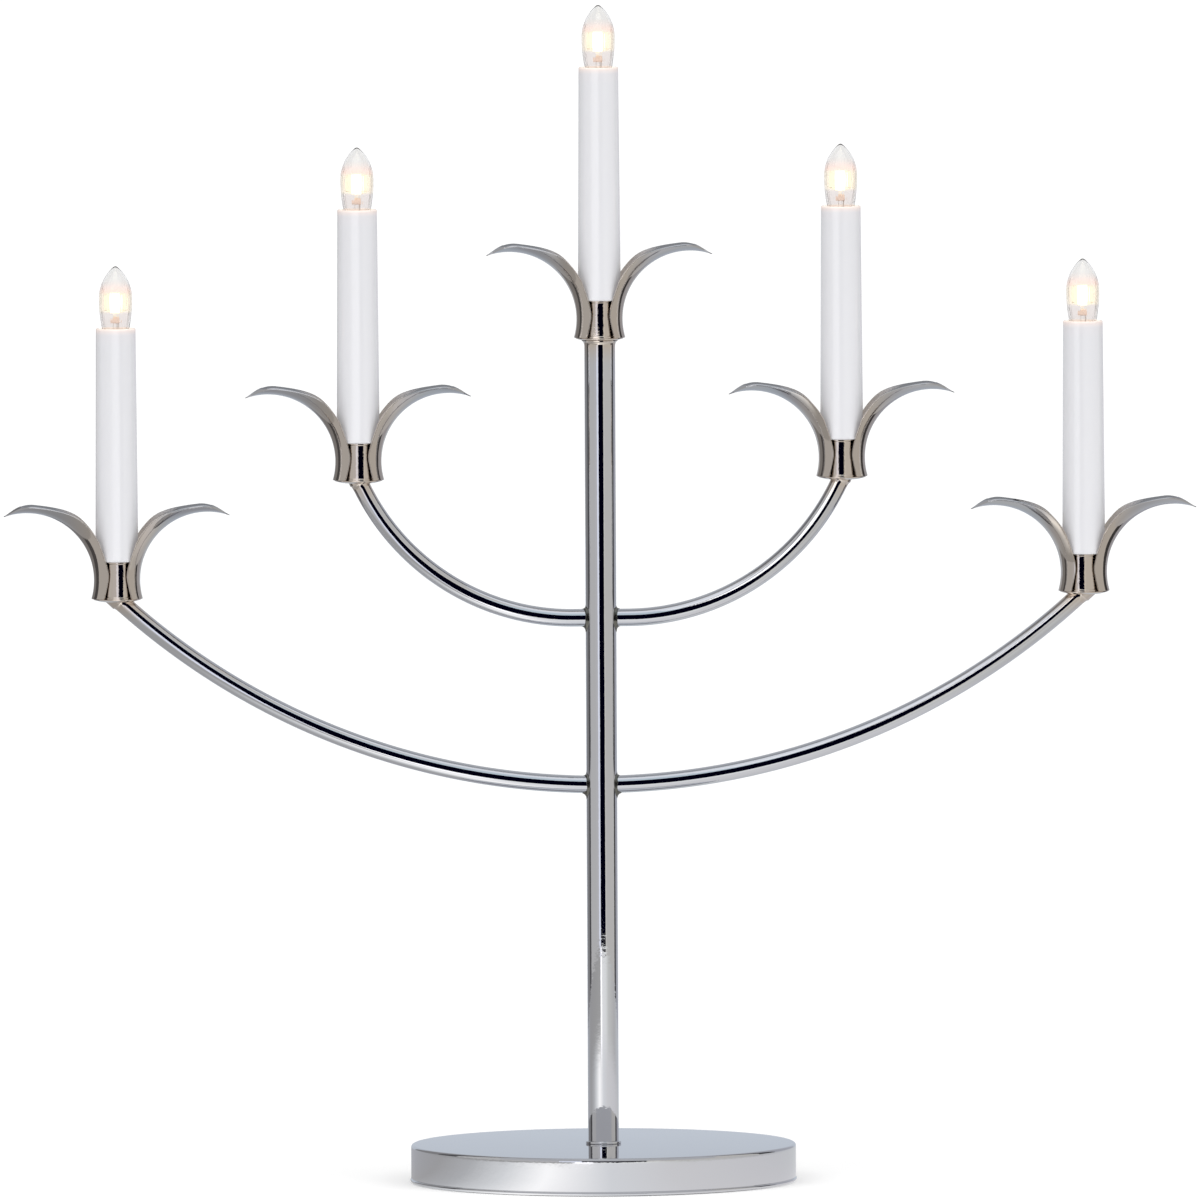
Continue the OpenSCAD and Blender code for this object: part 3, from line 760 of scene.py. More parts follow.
class CANDELABRA_OT_cups(bpy.types.Operator):
    """Spin the five cups: a dish with a conical underside and a socket tube"""
    bl_idname = "candelabra.cups"
    bl_label = "Cups"

    def execute(self, context):
        size = settings("holders")
        # The cups are coloured all over with the painted warm reflection tone.
        plate = plated("cup_warm_reflection", settings("finish").warm_reflection, polish=0.05, dent_scale=1500.0, dent=0.03)
        bead_r = size.socket + size.bead
        inner_r = size.socket - size.socket_wall
        bead, neck = size.bead_height, 1.3 * size.bead_height
        for at in holders():
            top, dish, foot = at.socket, at.dish, at.under
            rim_r = node_radius(f"cup_{at.place}") - size.dish_inset
            outline = [
                (size.dish_hole, foot), (size.dish_foot, foot), (rim_r, dish - size.dish_rim), (rim_r, dish),
                (bead_r, dish), (bead_r, dish + bead), (size.socket, dish + neck), (size.socket, top - neck),
                (bead_r, top - bead), (bead_r, top), (inner_r, top), (inner_r, dish), (size.dish_hole, dish),
            ]
            bm = spun(rounded(outline, 0.22 * MM), at.x, size.steps)
            add_piece(f"holder_{at.place}", bm, plate, nodes=[f"cup_{at.place}"])
        return {"FINISHED"}


class LeafShape:
    """The curved sheet of a leaf, on the +X side of an axis at x = 0 with the dish at z = 0."""

    def __init__(self, size):
        self.size = size
        self.middle = size.waist + size.arch
        self.shoulder_x = size.reach - size.point
        self.point_r = (size.point ** 2 + size.shoulder ** 2) / (2 * size.shoulder)
        self.tip_angle = math.acos((self.middle - size.reach) / size.arch)

    def curl_at(self, height):
        """Radius of the cross-section, which hugs the socket tube below the waist."""
        size = self.size
        share = smooth((height - size.waist_height) / (size.spread - size.waist_height))
        return size.foot_curl + (size.curl - size.foot_curl) * share

    def half_width(self, x, height):
        """Half width of the leaf, at a distance from the holder's axis and a height above the dish."""
        size = self.size
        if x >= size.reach:
            return 0.0
        if x > self.shoulder_x:
            along = x - self.shoulder_x
            return math.sqrt(self.point_r ** 2 - along ** 2) - self.point_r + size.shoulder
        if height < size.spread and x < size.taper:
            share = max(0.0, height) / size.spread
            return size.foot_half + (size.full_half - size.foot_half) * share ** 1.5
        narrowing = smooth((x - size.taper) / (self.shoulder_x - size.taper))
        return size.full_half + (size.shoulder - size.full_half) * narrowing

    def point(self, along, across):
        """A point on the leaf's back: along runs 0 to 1 from foot to tip, and across -1 to 1."""
        size = self.size
        rounds, pace, steepest = 16, 0.6, 0.95
        turn = 1.0
        curl = size.curl
        for _ in range(rounds):
            away = size.arch + curl * (1 - math.cos(turn * across))
            foot = -math.asin(size.waist_height / away)
            angle = foot + (self.tip_angle - foot) * along
            x = self.middle - away * math.cos(angle)
            z = size.waist_height + away * math.sin(angle)
            curl += pace * (self.curl_at(z) - curl)
            wanted = math.asin(min(steepest, self.half_width(x, z) / curl))
            turn += pace * (wanted - turn)
        return Vector((x, curl * math.sin(turn * across), z))

    def thickness(self, x):
        """The sheet, thinner towards the tip."""
        size = self.size
        return size.sheet * (1 - 0.7 * smooth((x - size.reach + size.thinning) / size.thinning))


class CANDELABRA_OT_leaves(bpy.types.Operator):
    """Shape the ten curled leaves from flat grids and give them their thickness"""
    bl_idname = "candelabra.leaves"
    bl_label = "Leaves"

    def execute(self, context):
        size = settings("leaves")
        finish = settings("finish")
        master = self.leaf_mesh(size, LeafShape(size))
        # Painted reflection: warm at the foot, darker and neutral at the tip.
        plate = plated("leaf_painted_reflection", finish.leaf_tip_reflection, polish=0.05, smudge=0.05, warm=finish.leaf_foot_reflection)
        for at in holders():
            for side, sign in SIDES.items():
                bm = bmesh.new()
                bm.from_mesh(master)
                bmesh.ops.scale(bm, vec=(sign, 1, 1), verts=bm.verts)
                bmesh.ops.recalc_face_normals(bm, faces=bm.faces)
                bmesh.ops.translate(bm, verts=bm.verts, vec=(at.x, 0, at.dish))
                piece = make_object(f"petal_{side}_{at.place}", bm, plate, 40.0)
                piece.modifiers.new("Even Shading", "WEIGHTED_NORMAL").keep_sharp = True
                dress(piece, nodes=[f"leaf_{side}_{at.place}"])
        bpy.data.meshes.remove(master)
        return {"FINISHED"}

    def leaf_mesh(self, size, shape):
        crowding = 1.25     # rows lie closer together towards the tip
        rim_angle = math.radians(50)
        bm = bmesh.new()
        bmesh.ops.create_grid(bm, x_segments=size.steps_along, y_segments=size.steps_across, size=1.0)
        for vert in bm.verts:
            to_tip = 1 - (vert.co.x + 1) / 2
            vert.co = shape.point(1 - to_tip ** crowding, vert.co.y)
        bmesh.ops.remove_doubles(bm, verts=bm.verts, dist=1e-6)
        bmesh.ops.recalc_face_normals(bm, faces=bm.faces)
        arch_middle = Vector((shape.middle, 0, size.waist_height))
        if sum(f.normal.dot(f.calc_center_median() - arch_middle) for f in bm.faces) > 0:
            bmesh.ops.reverse_faces(bm, faces=bm.faces)
        bm.normal_update()
        push = bm.verts.layers.float_vector.new("push")
        for vert in bm.verts:
            vert[push] = vert.normal * -shape.thickness(vert.co.x)
        out = bmesh.ops.extrude_face_region(bm, geom=bm.faces[:], use_keep_orig=True)["geom"]
        for vert in [g for g in out if isinstance(g, bmesh.types.BMVert)]:
            vert.co += vert[push]
        bm.verts.layers.float_vector.remove(push)
        bmesh.ops.recalc_face_normals(bm, faces=bm.faces)
        bm.normal_update()
        rim = [e for e in bm.edges if len(e.link_faces) == 2 and e.calc_face_angle() > rim_angle
               and all(v.co.x < size.reach - size.thinning for v in e.verts)]
        bmesh.ops.bevel(bm, geom=rim, offset=size.edge, offset_type="OFFSET", segments=3, profile=0.5,
                        affect="EDGES", material=-1, clamp_overlap=False)
        bmesh.ops.recalc_face_normals(bm, faces=bm.faces)
        # Where the painted warm reflection lies, fading from the waist.
        store(bm, "warm_reflection_mask", lambda p: smooth(1 - (p.x - size.waist) / size.warm_reflection_run))
        mesh = bpy.data.meshes.new("leaf_master")
        bm.to_mesh(mesh)
        bm.free()
        return mesh


class CANDELABRA_OT_candles(bpy.types.Operator):
    """Spin the five candle sleeves with their rounded mouths"""
    bl_idname = "candelabra.candles"
    bl_label = "Candle Sleeves"

    def execute(self, context):
        size = settings("candles")
        cup = settings("holders")
        material = candle_material()
        spigot_r = cup.socket - cup.socket_wall - FIT_GAP
        corner = 0.5 * MM
        for at in holders():
            name = f"candle_sleeve_{at.place}"
            axis, mouth, foot = at.x, at.mouth, at.socket
            inner_seat = mouth - size.seat
            foot_r = node_radius(name)
            outline = [
                *arc((size.top - size.lip, mouth - size.lip), size.lip, 90, 2, 8),
                (foot_r - 0.25 * MM - (foot_r - size.top) * 0.01, foot + 1.2 * MM),
                *arc((foot_r - corner, foot + corner), corner, 0, -90, 5),
                (spigot_r, foot), (spigot_r, foot - size.spigot), (size.core, foot - size.spigot),
                (size.core, inner_seat), (size.bore, inner_seat), (size.bore, mouth - 0.3 * MM),
                (size.bore + 0.3 * MM, mouth),
            ]
            bm = spun(outline, axis, size.steps)
            bright_r = size.bore + 0.4 * MM
            store(bm, "height", lambda p: SLEEVE_OUTSIDE * (p.z - foot) / (mouth - foot)
                  if math.hypot(p.x - axis, p.y) > bright_r or p.z < inner_seat - 0.1 * MM else 1.0)
            add_piece(f"sleeve_{at.place}", bm, material, nodes=[name], crease=30.0)
        return {"FINISHED"}


class BulbShape:
    """The outline of a bulb's glass, with heights from the sleeve's mouth."""

    def __init__(self, size, radius, tip):
        self.size = size
        self.radius = radius
        self.tip = tip
        self.tip_middle = tip - size.tip
        flame = self.tip_middle - size.widest
        self.flame_r = (flame ** 2 + radius ** 2 - size.tip ** 2) / (2 * (radius - size.tip))
        self.taper = size.widest + size.cap_top
        drop = radius - size.neck
        self.taper_r = (self.taper ** 2 + drop ** 2) / (2 * drop)

    def outer(self, inset, steps=26, tip_steps=8):
        """Points (radius, height) from the neck to the tip, shrunk by inset."""
        size = self.size
        points = []
        for i in range(steps + 1):
            z = -size.cap_top + self.taper * i / steps
            points.append((math.sqrt((self.taper_r - inset) ** 2 - (z - size.widest) ** 2)
                           + self.radius - self.taper_r, z))
        top = math.acos((self.flame_r - self.radius) / (self.flame_r - size.tip))
        for i in range(1, steps + 1):
            angle = top * i / steps
            points.append((self.radius - self.flame_r + (self.flame_r - inset) * math.cos(angle),
                           size.widest + (self.flame_r - inset) * math.sin(angle)))
        ball = size.tip - inset
        for i in range(1, tip_steps):
            angle = top + (math.pi / 2 - top) * i / tip_steps
            points.append((ball * math.cos(angle), self.tip_middle + ball * math.sin(angle)))
        points.append((0.0, self.tip_middle + ball))
        return points

    def outside(self, height):
        """Radius of the outside at a height."""
        curve_r = self.taper_r if height < self.size.widest else self.flame_r
        return math.sqrt(curve_r ** 2 - (height - self.size.widest) ** 2) + self.radius - curve_r


class CANDELABRA_OT_bulbs(bpy.types.Operator):
    """Blow the five ribbed glass bulbs"""
    bl_idname = "candelabra.bulbs"
    bl_label = "Bulb Glass"

    def execute(self, context):
        size = settings("bulbs")
        material = glass_material()
        neck_r = size.cap - 0.8 * MM
        for at in holders():
            name = f"bulb_envelope_{at.place}"
            mouth = at.mouth
            foot, tip = (corner.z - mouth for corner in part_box(name))
            shape = BulbShape(size, node_radius(name), tip)
            outline = [
                (neck_r - 0.6 * MM, foot), (neck_r, foot), (neck_r, -size.cap_top), *shape.outer(0.0),
                *reversed(shape.outer(size.wall)), (neck_r - 0.6 * MM, -size.cap_top + 0.3 * MM),
            ]
            bm = spun([(r, z + mouth) for r, z in outline], at.x, size.steps)
            store(bm, "height", lambda p: (p.z - mouth) / tip)
            self.press_ribs(bm, size, shape, at)
            add_piece(f"glass_{at.place}", bm, material, f"bulb_{at.place}", [name], 60.0)
        return {"FINISHED"}

    def press_ribs(self, bm, size, shape, at):
        """Presses upright ribs into the outside, fading out towards the clear tip."""
        low, low_fade = -size.cap_top + 1.5 * MM, 3 * MM
        high, high_fade = shape.tip - 6 * MM, 5 * MM
        for vert in bm.verts:
            across = Vector((vert.co.x - at.x, vert.co.y, 0))
            height = vert.co.z - at.mouth
            if not low < height < high or shape.outside(height) - across.length > size.wall / 2:
                continue
            fade = min(1.0, (height - low) / low_fade, (high - height) / high_fade)
            wave = 0.5 - 0.5 * math.cos(size.ribs * math.atan2(across.y, across.x))
            vert.co -= across.normalized() * size.rib_depth * fade * wave


class CANDELABRA_OT_lamps(bpy.types.Operator):
    """Make the diodes inside the bulbs and the threaded caps under them"""
    bl_idname = "candelabra.lamps"
    bl_label = "Diodes and Caps"

    def execute(self, context):
        size = settings("bulbs")
        finish = settings("finish")
        resin = moulded("diode_body", finish.diode, 0.3, coat_weight=0.5, emission_color=rgba(finish.diode),
                        emission_strength=0.16)
        light = lit_material("core_light", finish.glow, 1.5)
        guide = guide_material()
        board = moulded("diode_board", finish.board, 0.5)
        legs = moulded("diode_legs", finish.legs)
        cap = plated("nickel_plate", finish.nickel, polish=0.12, smudge=0.1)
        for at in holders():
            self.solid(size, at, "diode", self.diode(size), resin, nodes=[f"bulb_led_{at.place}"])
            self.solid(size, at, "core", self.core(size), light)
            self.solid(size, at, "light_guide", self.guide(size), guide, "bulb_glass", steps=72)
            self.legs(size, at, legs)
            foot, board_r = -size.cap_top - 3.0 * MM, size.cap - 1.45 * MM
            sheet = [(0, foot), (board_r, foot), (board_r, foot + 0.8 * MM), (0, foot + 0.8 * MM)]
            self.solid(size, at, "diode_board", sheet, board)
            self.cap(size, at, cap)
        return {"FINISHED"}

    def solid(self, size, at, name, outline, material, slot="led_body", nodes=(), steps=None):
        """A solid round piece in a bulb, from an outline with heights above the sleeve's mouth."""
        bm = spun([(r, at.mouth + z) for r, z in outline], at.x, steps or size.part_steps, closed=False)
        add_piece(f"{name}_{at.place}", bm, material, f"bulb_{at.place}", nodes)

    def diode(self, size):
        foot, r = size.diode_height, size.diode
        top = foot + size.diode_length
        dome = 0.8 * MM
        return [(0, foot), (r - 0.3 * MM, foot), (r, foot + 0.3 * MM), (r, foot + 1.2 * MM),
                *arc((dome, top - dome), dome, 60, 90, 5), (0, top)]

    def core(self, size):
        """The bright core over the diode."""
        foot, top, r = size.guide_foot, size.guide_top, size.core
        return [(0, foot - 0.3 * MM), (r - 0.5 * MM, foot), (r, foot + 0.9 * MM),
                (r * 1.06, (foot + top) / 2), (r, top - 1.2 * MM), (r - 0.6 * MM, top - 0.5 * MM),
                (0, top - 0.3 * MM)]

    def guide(self, size):
        """The clear barrel round the core, and its foot on the diode."""
        foot, top, r = size.guide_foot, size.guide_top, size.guide
        neck = size.diode_height + size.diode_length - 0.4 * MM
        neck_r = 1.1 * MM
        return [(0, neck), (neck_r, neck), (neck_r, foot - 1.1 * MM), (r - 1.0 * MM, foot - 0.5 * MM),
                (r, foot + 0.3 * MM), (r * 1.05, (foot + top) / 2), (r * 0.98, top - 0.8 * MM),
                (r * 0.9, top), (0, top + 0.25 * MM)]

    def legs(self, size, at, material):
        """The two legs that carry the diode."""
        low = at.mouth - size.cap_top - 2.6 * MM
        high = at.mouth + size.diode_height + 0.3 * MM
        bm = bmesh.new()
        for shift, radius in ((-0.9 * MM, 0.25 * MM), (0.9 * MM, 0.14 * MM)):
            add_rod(bm, radius, high - low, 16, Matrix.Translation((at.x + shift, 0, (low + high) / 2)))
        add_piece(f"diode_legs_{at.place}", bm, material, f"bulb_{at.place}")

    def cap(self, size, at, material):
        """A thin sleeve with a rolled helical thread, and the cone below it."""
        x, name = at.x, f"bulb_cap_{at.place}"
        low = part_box(name)[0].z
        top = at.mouth - size.cap_top
        foot = top - size.cap_length
        core = size.cap - 0.55 * MM
        eye = 1.75 * MM
        bm = spun([(core - 0.25 * MM, top), (core, top), (core, foot), (eye + 0.2 * MM, low), (eye, low),
                   (eye, low + 0.4 * MM), (core - 0.3 * MM, foot + 0.4 * MM)], x)
        turns = (size.cap_length - 2.0 * MM) / size.pitch
        start = foot + 0.8 * MM
        half = size.pitch * 0.45
        root, flank = core - 0.1 * MM, core + 0.3 * MM
        ridge = [(root, start - half), (flank, start - half * 0.4), (size.cap, start),
                 (flank, start + half * 0.4), (root, start + half)]
        verts = [bm.verts.new((x + r, 0, z)) for r, z in ridge]
        edges = [bm.edges.new(p) for p in zip(verts, verts[1:] + verts[:1])]
        steps = int(turns * 64)
        bmesh.ops.spin(bm, geom=verts + edges, cent=(x, 0, 0), axis=(0, 0, 1), angle=math.tau * turns,
                       steps=steps, dvec=(0, 0, turns * size.pitch / steps), use_merge=False)
        bmesh.ops.holes_fill(bm, edges=[e for e in bm.edges if e.is_boundary])
        bmesh.ops.recalc_face_normals(bm, faces=bm.faces)
        add_piece(f"screw_cap_{at.place}", bm, material, f"bulb_{at.place}", [name], 50.0)


class CANDELABRA_OT_bush(bpy.types.Operator):
    """Spin the flanged bush in the drum's rear wall"""
    bl_idname = "candelabra.bush"
    bl_label = "Cord Bush"

    def execute(self, context):
        low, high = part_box("cord_bush")
        size = settings("base")
        side_r = HEM_R - size.hem_out
        inner_r = side_r - size.wall
        flange_r = (high.z - low.z) / 2
        bore = size.bush_bore
        body_r = size.bush_hole - FIT_GAP
        sag = side_r - math.sqrt(side_r ** 2 - flange_r ** 2)
        outline = [
            (bore, low.y), (flange_r, low.y), (flange_r, inner_r - sag - FIT_GAP),
            (body_r, inner_r - sag), (body_r, side_r - 0.1 * MM),
            (flange_r, side_r - sag + FIT_GAP), (flange_r, high.y), (bore, high.y),
        ]
        bm = spun(rounded(outline, 0.35 * MM), steps=72)
        turn = Matrix.Translation((0, 0, (low.z + high.z) / 2)) @ Matrix.Rotation(-math.pi / 2, 4, "X")
        bmesh.ops.transform(bm, matrix=turn, verts=bm.verts)
        material = moulded("bush_plastic", settings("finish").bush, 0.45)
        add_piece("bush", bm, material, nodes=["cord_bush"])
        return {"FINISHED"}


class CANDELABRA_OT_inside(bpy.types.Operator):
    """Finish the pieces inside and underneath that keep their plain solids"""
    bl_idname = "candelabra.inside"
    bl_label = "Inner Pieces"

    def execute(self, context):
        finish = settings("finish")
        finished = {
            plated("steel_sheet", finish.steel, polish=0.3, smudge=0.15, dent_scale=700.0):
                ["base_plate", "terminal_screws", "stem_washer"],
            plated("brass", finish.brass, polish=0.18, smudge=0.1):
                ["stem_nut", "socket_shells", "socket_contacts"],
            moulded("lampholder_plastic", finish.holder): ["lampholders"],
            moulded("cast_iron", finish.iron, 0.65, 350.0, 0.25): ["base_weight"],
            moulded("foam_pad", finish.foam, 0.95, 1400.0, 0.2): ["base_pad"],
            moulded("terminal_plastic", finish.block): ["terminal_block"],
            moulded("wire_insulation", finish.wire, 0.35): ["wiring_loom"],
            plated("solder", finish.solder, polish=0.3, smudge=0.2):
                [f"bulb_contact_{place}" for place in PLACES],
        }
        for material, names in finished.items():
            for name in names:
                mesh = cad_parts[name].data
                mesh.materials.clear()
                mesh.materials.append(material)
        return {"FINISHED"}


# ---------------------------------------------------------------- stage

FLOOR_TONE = 0.80
FLOOR_LIFT = 0.26
AMBIENT = 0.50
SUN_WIDTH = 40
SUNS = (("sun_left", -48, 38, 0.72), ("sun_right", 50, 34, 0.72), ("sun_top", 0, 80, 0.75))

# Mirrors see these tones on the floor, as (angle from the camera's side towards +X in degrees, colour):
# the near ones up to the first distance from the stem and the far ones from the second.
FLOOR_RINGS = (0.24, 0.40)
FLOOR_NEAR = (
    (-180, (0.55, 0.60, 0.66)), (-150, (0.45, 0.46, 0.50)), (-100, (0.44, 0.44, 0.45)),
    (-75, (0.55, 0.56, 0.58)), (-52, (0.86, 0.88, 0.90)), (-30, (1.30, 1.30, 1.30)),
    (-20, (1.15, 1.15, 1.16)), (0, (0.85, 0.87, 0.90)), (30, (0.78, 0.78, 0.80)), (90, (0.72, 0.72, 0.75)),
    (140, (0.64, 0.66, 0.68)), (180, (0.55, 0.60, 0.66)),
)
FLOOR_FAR = (
    (-180, (0.55, 0.60, 0.67)), (-110, (0.40, 0.40, 0.41)), (-60, (0.42, 0.42, 0.42)),
    (-20, (0.45, 0.45, 0.45)), (-18, (1.60, 1.60, 1.66)), (-10, (1.60, 1.60, 1.66)),
    (-7, (0.95, 0.96, 0.98)), (20, (0.90, 0.92, 0.92)), (40, (0.68, 0.69, 0.68)), (90, (0.55, 0.55, 0.56)),
    (120, (0.60, 0.62, 0.66)), (180, (0.55, 0.60, 0.67)),
)

# The tent's wall, as (name, from angle, to angle, foot, top, colour). A panel without a top reaches the roof.
BLUE_BLACK = (0.0, 0.0, 0.006)
TENT_PANELS = (
    ("back_left", -150, -114, 0, None, (0.26, 0.26, 0.27)),
    ("post_left", -114, -96, 0, None, (0.09, 0.09, 0.095)),
    ("wall_left", -96, -45, 0, None, (0.56, 0.56, 0.565)),
    ("wall_left_low", -45, -28, 0, 0.42, (0.58, 0.58, 0.60)),
    ("strip_left", -28, -15, 0, 0.42, (0.92, 0.96, 1.10)),
    ("key_left", -45, -4, 0.42, 0.68, (1.70, 1.70, 1.72)),
    ("gap_left", -45, -4, 0.68, 0.76, (0.14, 0.15, 0.16)),
    ("upper_left", -45, -4, 0.76, None, (1.05, 1.07, 1.12)),
    ("slit_left", -15, -4, 0, 0.42, BLUE_BLACK),
    ("slit_right", -4, 21, 0, 0.66, BLUE_BLACK),
    ("upper_right", -4, 21, 0.66, None, (0.62, 0.72, 0.80)),
    ("edge_right", 21, 29, 0, None, (0.70, 0.69, 0.66)),
    ("wall_right", 29, 98, 0, None, (0.60, 0.59, 0.575)),
    ("post_right", 98, 115, 0, None, (0.06, 0.06, 0.065)),
    ("back_right", 115, 150, 0, None, (0.44, 0.45, 0.50)),
    ("back_low", 150, 210, 0, 0.25, (0.553, 0.60, 0.672)),
    ("back", 150, 210, 0.25, None, (0.50, 0.52, 0.56)),
)
PANEL_STEP = 3      # degrees of the wall to a face
TENT_ROOF = (("front", -90, 90, (0.88, 0.92, 0.99)), ("back", 90, 270, (0.36, 0.38, 0.41)))
# Flat cards in front of the slit that only the drum's top sees, since they show from below: (name, inner
# radius, height), each as far to the left of the camera as to its right.
TENT_SHELVES = (("low", 0.25, 0.05), ("high", 0.095, 0.10))
SHELF_REACH = 60
SHELF_TONE = (0.50, 0.51, 0.54)


def toward(azimuth, elevation):
    """The direction to a place at an azimuth from the camera's side towards +X and at an elevation."""
    level = math.cos(elevation)
    return Vector((math.sin(azimuth) * level, -math.cos(azimuth) * level, math.sin(elevation)))


def round_point(radius, degrees, height):
    return toward(math.radians(degrees), 0) * radius + Vector((0, 0, height))


def glow_material(name, colour, one_sided=False):
    """A light of one colour that lights nothing by itself, clear from in front of its faces if one-sided."""
    material, tree = new_material(name)
    light = emission(tree, rgba(colour))
    if one_sided:
        behind = node(tree, "NewGeometry").outputs["Backfacing"]
        light = mixed(tree, behind, node(tree, "BsdfTransparent").outputs[0], light)
    material.cycles.emission_sampling = "NONE"
    return surfaced(material, light)


def swept_card(first, second, degrees, steps):
    """An edge swept round the stem."""
    bm = bmesh.new()
    verts = [bm.verts.new(first), bm.verts.new(second)]
    bmesh.ops.spin(bm, geom=[*verts, bm.edges.new(verts)], cent=(0, 0, 0), axis=(0, 0, 1),
                   angle=math.radians(degrees), steps=steps, use_merge=False)
    return bm


def hang(name, bm, material):
    """Adds a card to the stage, for mirrors alone to see."""
    card = make_object(name, bm, material)
    for rays in ("camera", "diffuse", "shadow", "transmission", "volume_scatter"):
        setattr(card, f"visible_{rays}", False)


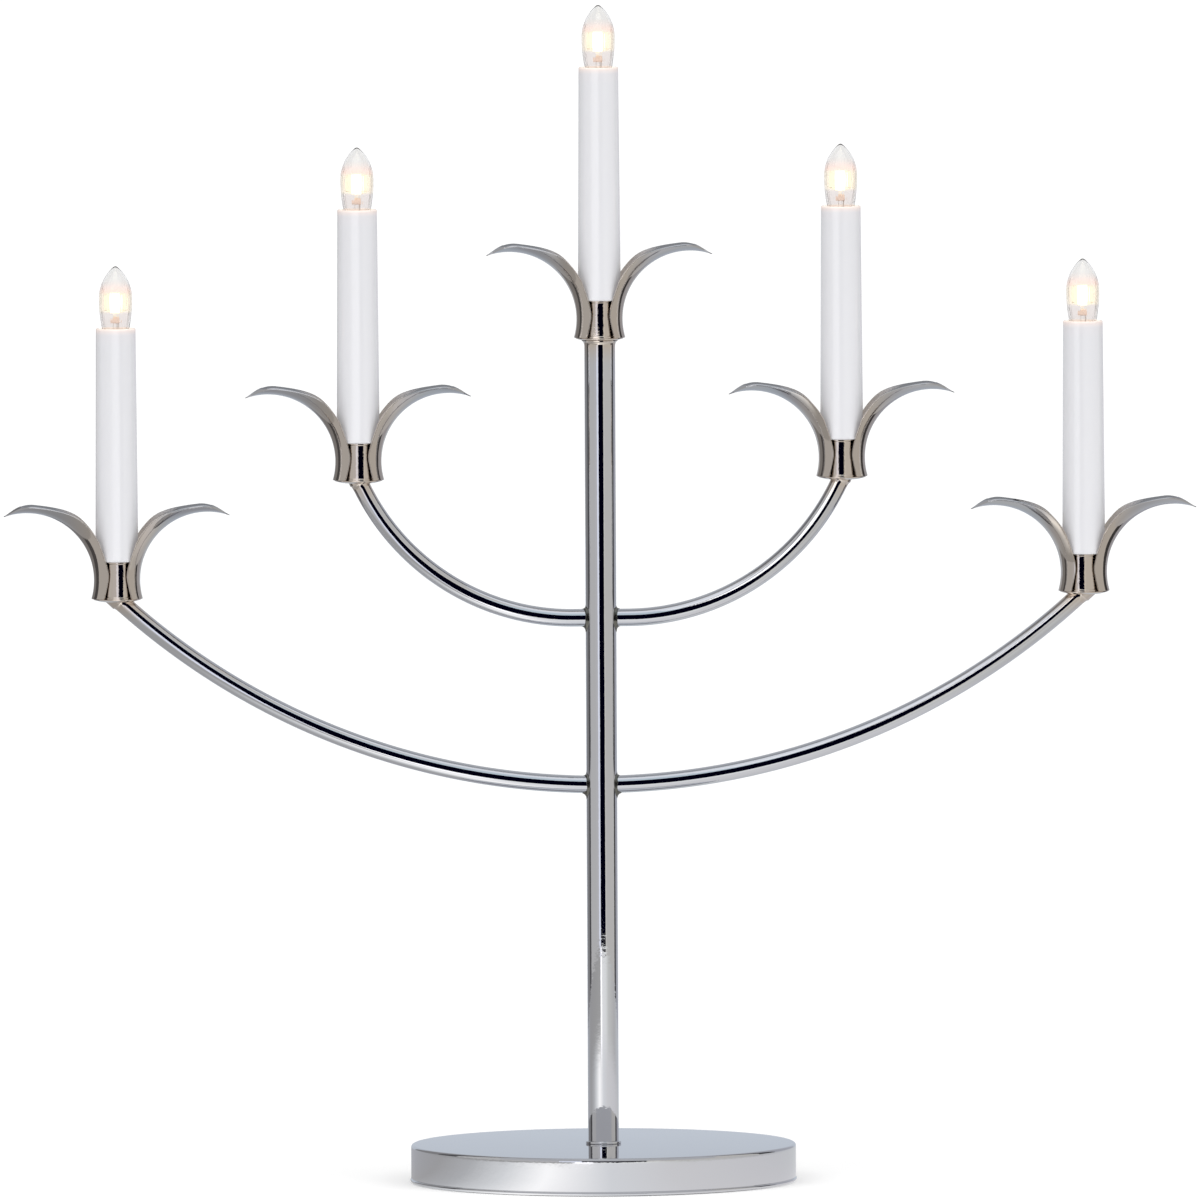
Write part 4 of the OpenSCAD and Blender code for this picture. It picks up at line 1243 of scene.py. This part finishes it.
class CANDELABRA_OT_stage(bpy.types.Operator):
    """Set up the floor, the reflection tent, the lamps, the world and the camera"""
    bl_idname = "candelabra.stage"
    bl_label = "Stage"

    def execute(self, context):
        size = settings("stage")
        self.floor(size)
        self.tent(size)
        self.lamps(context.scene)
        self.world(context.scene)
        self.camera(context.scene, size)
        context.scene.view_settings.view_transform = "Standard"
        return {"FINISHED"}

    def floor(self, size):
        """Pale paper. Mirrors see a patchy floor in its place, as in a small tent."""
        bm = bmesh.new()
        bmesh.ops.create_circle(bm, cap_ends=True, segments=96, radius=size.floor)
        material, tree = new_material("floor_paper")
        paper = node(tree, "BsdfDiffuse", {"Color": (FLOOR_TONE, FLOOR_TONE, FLOOR_TONE, 1)}).outputs[0]
        rays = node(tree, "LightPath").outputs
        through = rays["Is Transmission Ray"]
        seen = calculate(tree, "MAXIMUM", rays["Is Camera Ray"], through)
        lift = emission(tree, (1, 1, 1, 1), calculate(tree, "MULTIPLY", seen, FLOOR_LIFT))
        lifted = node(tree, "AddShader", {0: paper, 1: lift}).outputs[0]
        bounced = calculate(tree, "SUBTRACT", rays["Is Glossy Ray"], through, use_clamp=True)
        mirrored = emission(tree, self.mirrored_tones(tree))
        material.cycles.emission_sampling = "NONE"
        make_object("floor", bm, surfaced(material, mixed(tree, bounced, lifted, mirrored)))

    def mirrored_tones(self, tree):
        """The floor as mirrors see it: one ring of tones near the drum and one further out."""
        place = object_place(tree)
        parts = node(tree, "SeparateXYZ", {0: place}).outputs
        forward = calculate(tree, "MULTIPLY", parts["Y"], -1.0)
        angle = calculate(tree, "ARCTAN2", parts["X"], forward)
        share = calculate(tree, "MULTIPLY_ADD", angle, 1 / math.tau, 0.5)
        away = node(tree, "VectorMath", {0: place}, operation="LENGTH").outputs["Value"]
        near, far = FLOOR_RINGS
        beyond = node(tree, "MapRange", {"Value": away, "From Min": near, "From Max": far},
                      interpolation_type="SMOOTHSTEP").outputs["Result"]
        rings = [ramp(tree, share, [((angle + 180) / 360, colour) for angle, colour in tones])
                 for tones in (FLOOR_NEAR, FLOOR_FAR)]
        return node(tree, "Mix", {"Factor": beyond, 6: rings[0], 7: rings[1]}, data_type="RGBA").outputs[2]

    def tent(self, size):
        """Panels that only mirrors see: grey walls, bright strips, dark posts and the camera's slit."""
        roof = size.tent_top
        for name, start, end, low, high, colour in TENT_PANELS:
            name = f"tent_{name}"
            bm = swept_card(round_point(size.tent, start, low), round_point(size.tent, start, high or roof),
                            end - start, max(2, (end - start) // PANEL_STEP))
            hang(name, bm, glow_material(name, colour))
        tone = glow_material("shelf_tone", SHELF_TONE, one_sided=True)
        for name, near, height in TENT_SHELVES:
            inner, outer = (round_point(radius, -SHELF_REACH, height) for radius in (near, size.tent))
            bm = swept_card(inner, outer, 2 * SHELF_REACH, 40)
            bm.normal_update()
            bmesh.ops.reverse_faces(bm, faces=[face for face in bm.faces if face.normal.z < 0])
            hang(f"shelf_{name}", bm, tone)
        for name, start, end, colour in TENT_ROOF:
            name = f"roof_{name}"
            bm = swept_card((0, 0, roof), round_point(size.tent, start, roof), end - start, 48)
            hang(name, bm, glow_material(name, colour))

    def lamps(self, scene):
        """Three wide, soft suns: two in front and one above."""
        for name, azimuth, elevation, power in SUNS:
            data = bpy.data.lights.new(name, "SUN")
            data.energy = power
            data.angle = math.radians(SUN_WIDTH)
            lamp = bpy.data.objects.new(name, data)
            aim = -toward(math.radians(azimuth), math.radians(elevation))
            lamp.rotation_euler = aim.to_track_quat("-Z", "Y").to_euler()
            lamp.visible_glossy = False
            lamp.visible_transmission = False
            scene.collection.objects.link(lamp)

    def world(self, scene):
        """White for the camera, mirrors and glass, and a dimmer ambient light for all else."""
        scene.world = bpy.data.worlds.new("studio")
        scene.world.use_nodes = True
        tree = scene.world.node_tree
        tree.nodes.clear()
        ambient, white = (node(tree, "Background", {"Color": (1, 1, 1, 1), "Strength": level}).outputs[0]
                          for level in (AMBIENT, 1.0))
        rays = node(tree, "LightPath").outputs
        seen = calculate(tree, "MAXIMUM", rays["Is Camera Ray"], rays["Is Transmission Ray"])
        seen = calculate(tree, "MAXIMUM", seen, rays["Is Glossy Ray"])
        node(tree, "OutputWorld", {"Surface": mixed(tree, seen, ambient, white)})

    def camera(self, scene, size):
        data = bpy.data.cameras.new("camera")
        data.sensor_width = 36.0
        data.lens = data.sensor_width * size.distance / size.view_width
        data.clip_end = 100.0
        camera = bpy.data.objects.new("camera", data)
        scene.collection.objects.link(camera)
        back = toward(size.azimuth, size.elevation)
        side = Vector((math.cos(size.azimuth), math.sin(size.azimuth), 0))
        turn = (-back).to_track_quat("-Z", "Y") @ Matrix.Rotation(size.roll, 4, "Z").to_quaternion()
        camera.rotation_euler = turn.to_euler()
        camera.location = Vector((0, 0, size.view_height)) + side * size.view_shift + back * size.distance
        scene.camera = camera


OPERATORS = (
    CANDELABRA_OT_base, CANDELABRA_OT_stem, CANDELABRA_OT_arms, CANDELABRA_OT_cups, CANDELABRA_OT_leaves,
    CANDELABRA_OT_candles, CANDELABRA_OT_bulbs, CANDELABRA_OT_lamps, CANDELABRA_OT_bush,
    CANDELABRA_OT_inside, CANDELABRA_OT_stage,
)


class CANDELABRA_PT_panel(bpy.types.Panel):
    """Lists the pieces in the order in which they are made"""
    bl_idname = "CANDELABRA_PT_panel"
    bl_label = "Candelabra"
    bl_space_type = "VIEW_3D"
    bl_region_type = "UI"
    bl_category = "Candelabra"

    def draw(self, context):
        for operator in OPERATORS:
            self.layout.operator(operator.bl_idname)
        for group, kind in GROUPS.items():
            box = self.layout.box()
            for name in kind.__annotations__:
                box.prop(settings(group), name)


CLASSES = (*GROUPS.values(), *OPERATORS, CANDELABRA_PT_panel)


def register():
    for kind in CLASSES:
        bpy.utils.register_class(kind)
    for group, kind in GROUPS.items():
        setattr(bpy.types.Scene, f"candelabra_{group}", PointerProperty(type=kind))


def unregister():
    for group in GROUPS:
        delattr(bpy.types.Scene, f"candelabra_{group}")
    for kind in reversed(CLASSES):
        bpy.utils.unregister_class(kind)


def main():
    register()
    for operator in OPERATORS:
        group, name = operator.bl_idname.split(".")
        getattr(getattr(bpy.ops, group), name)()


if __name__ == "__main__":
    main()
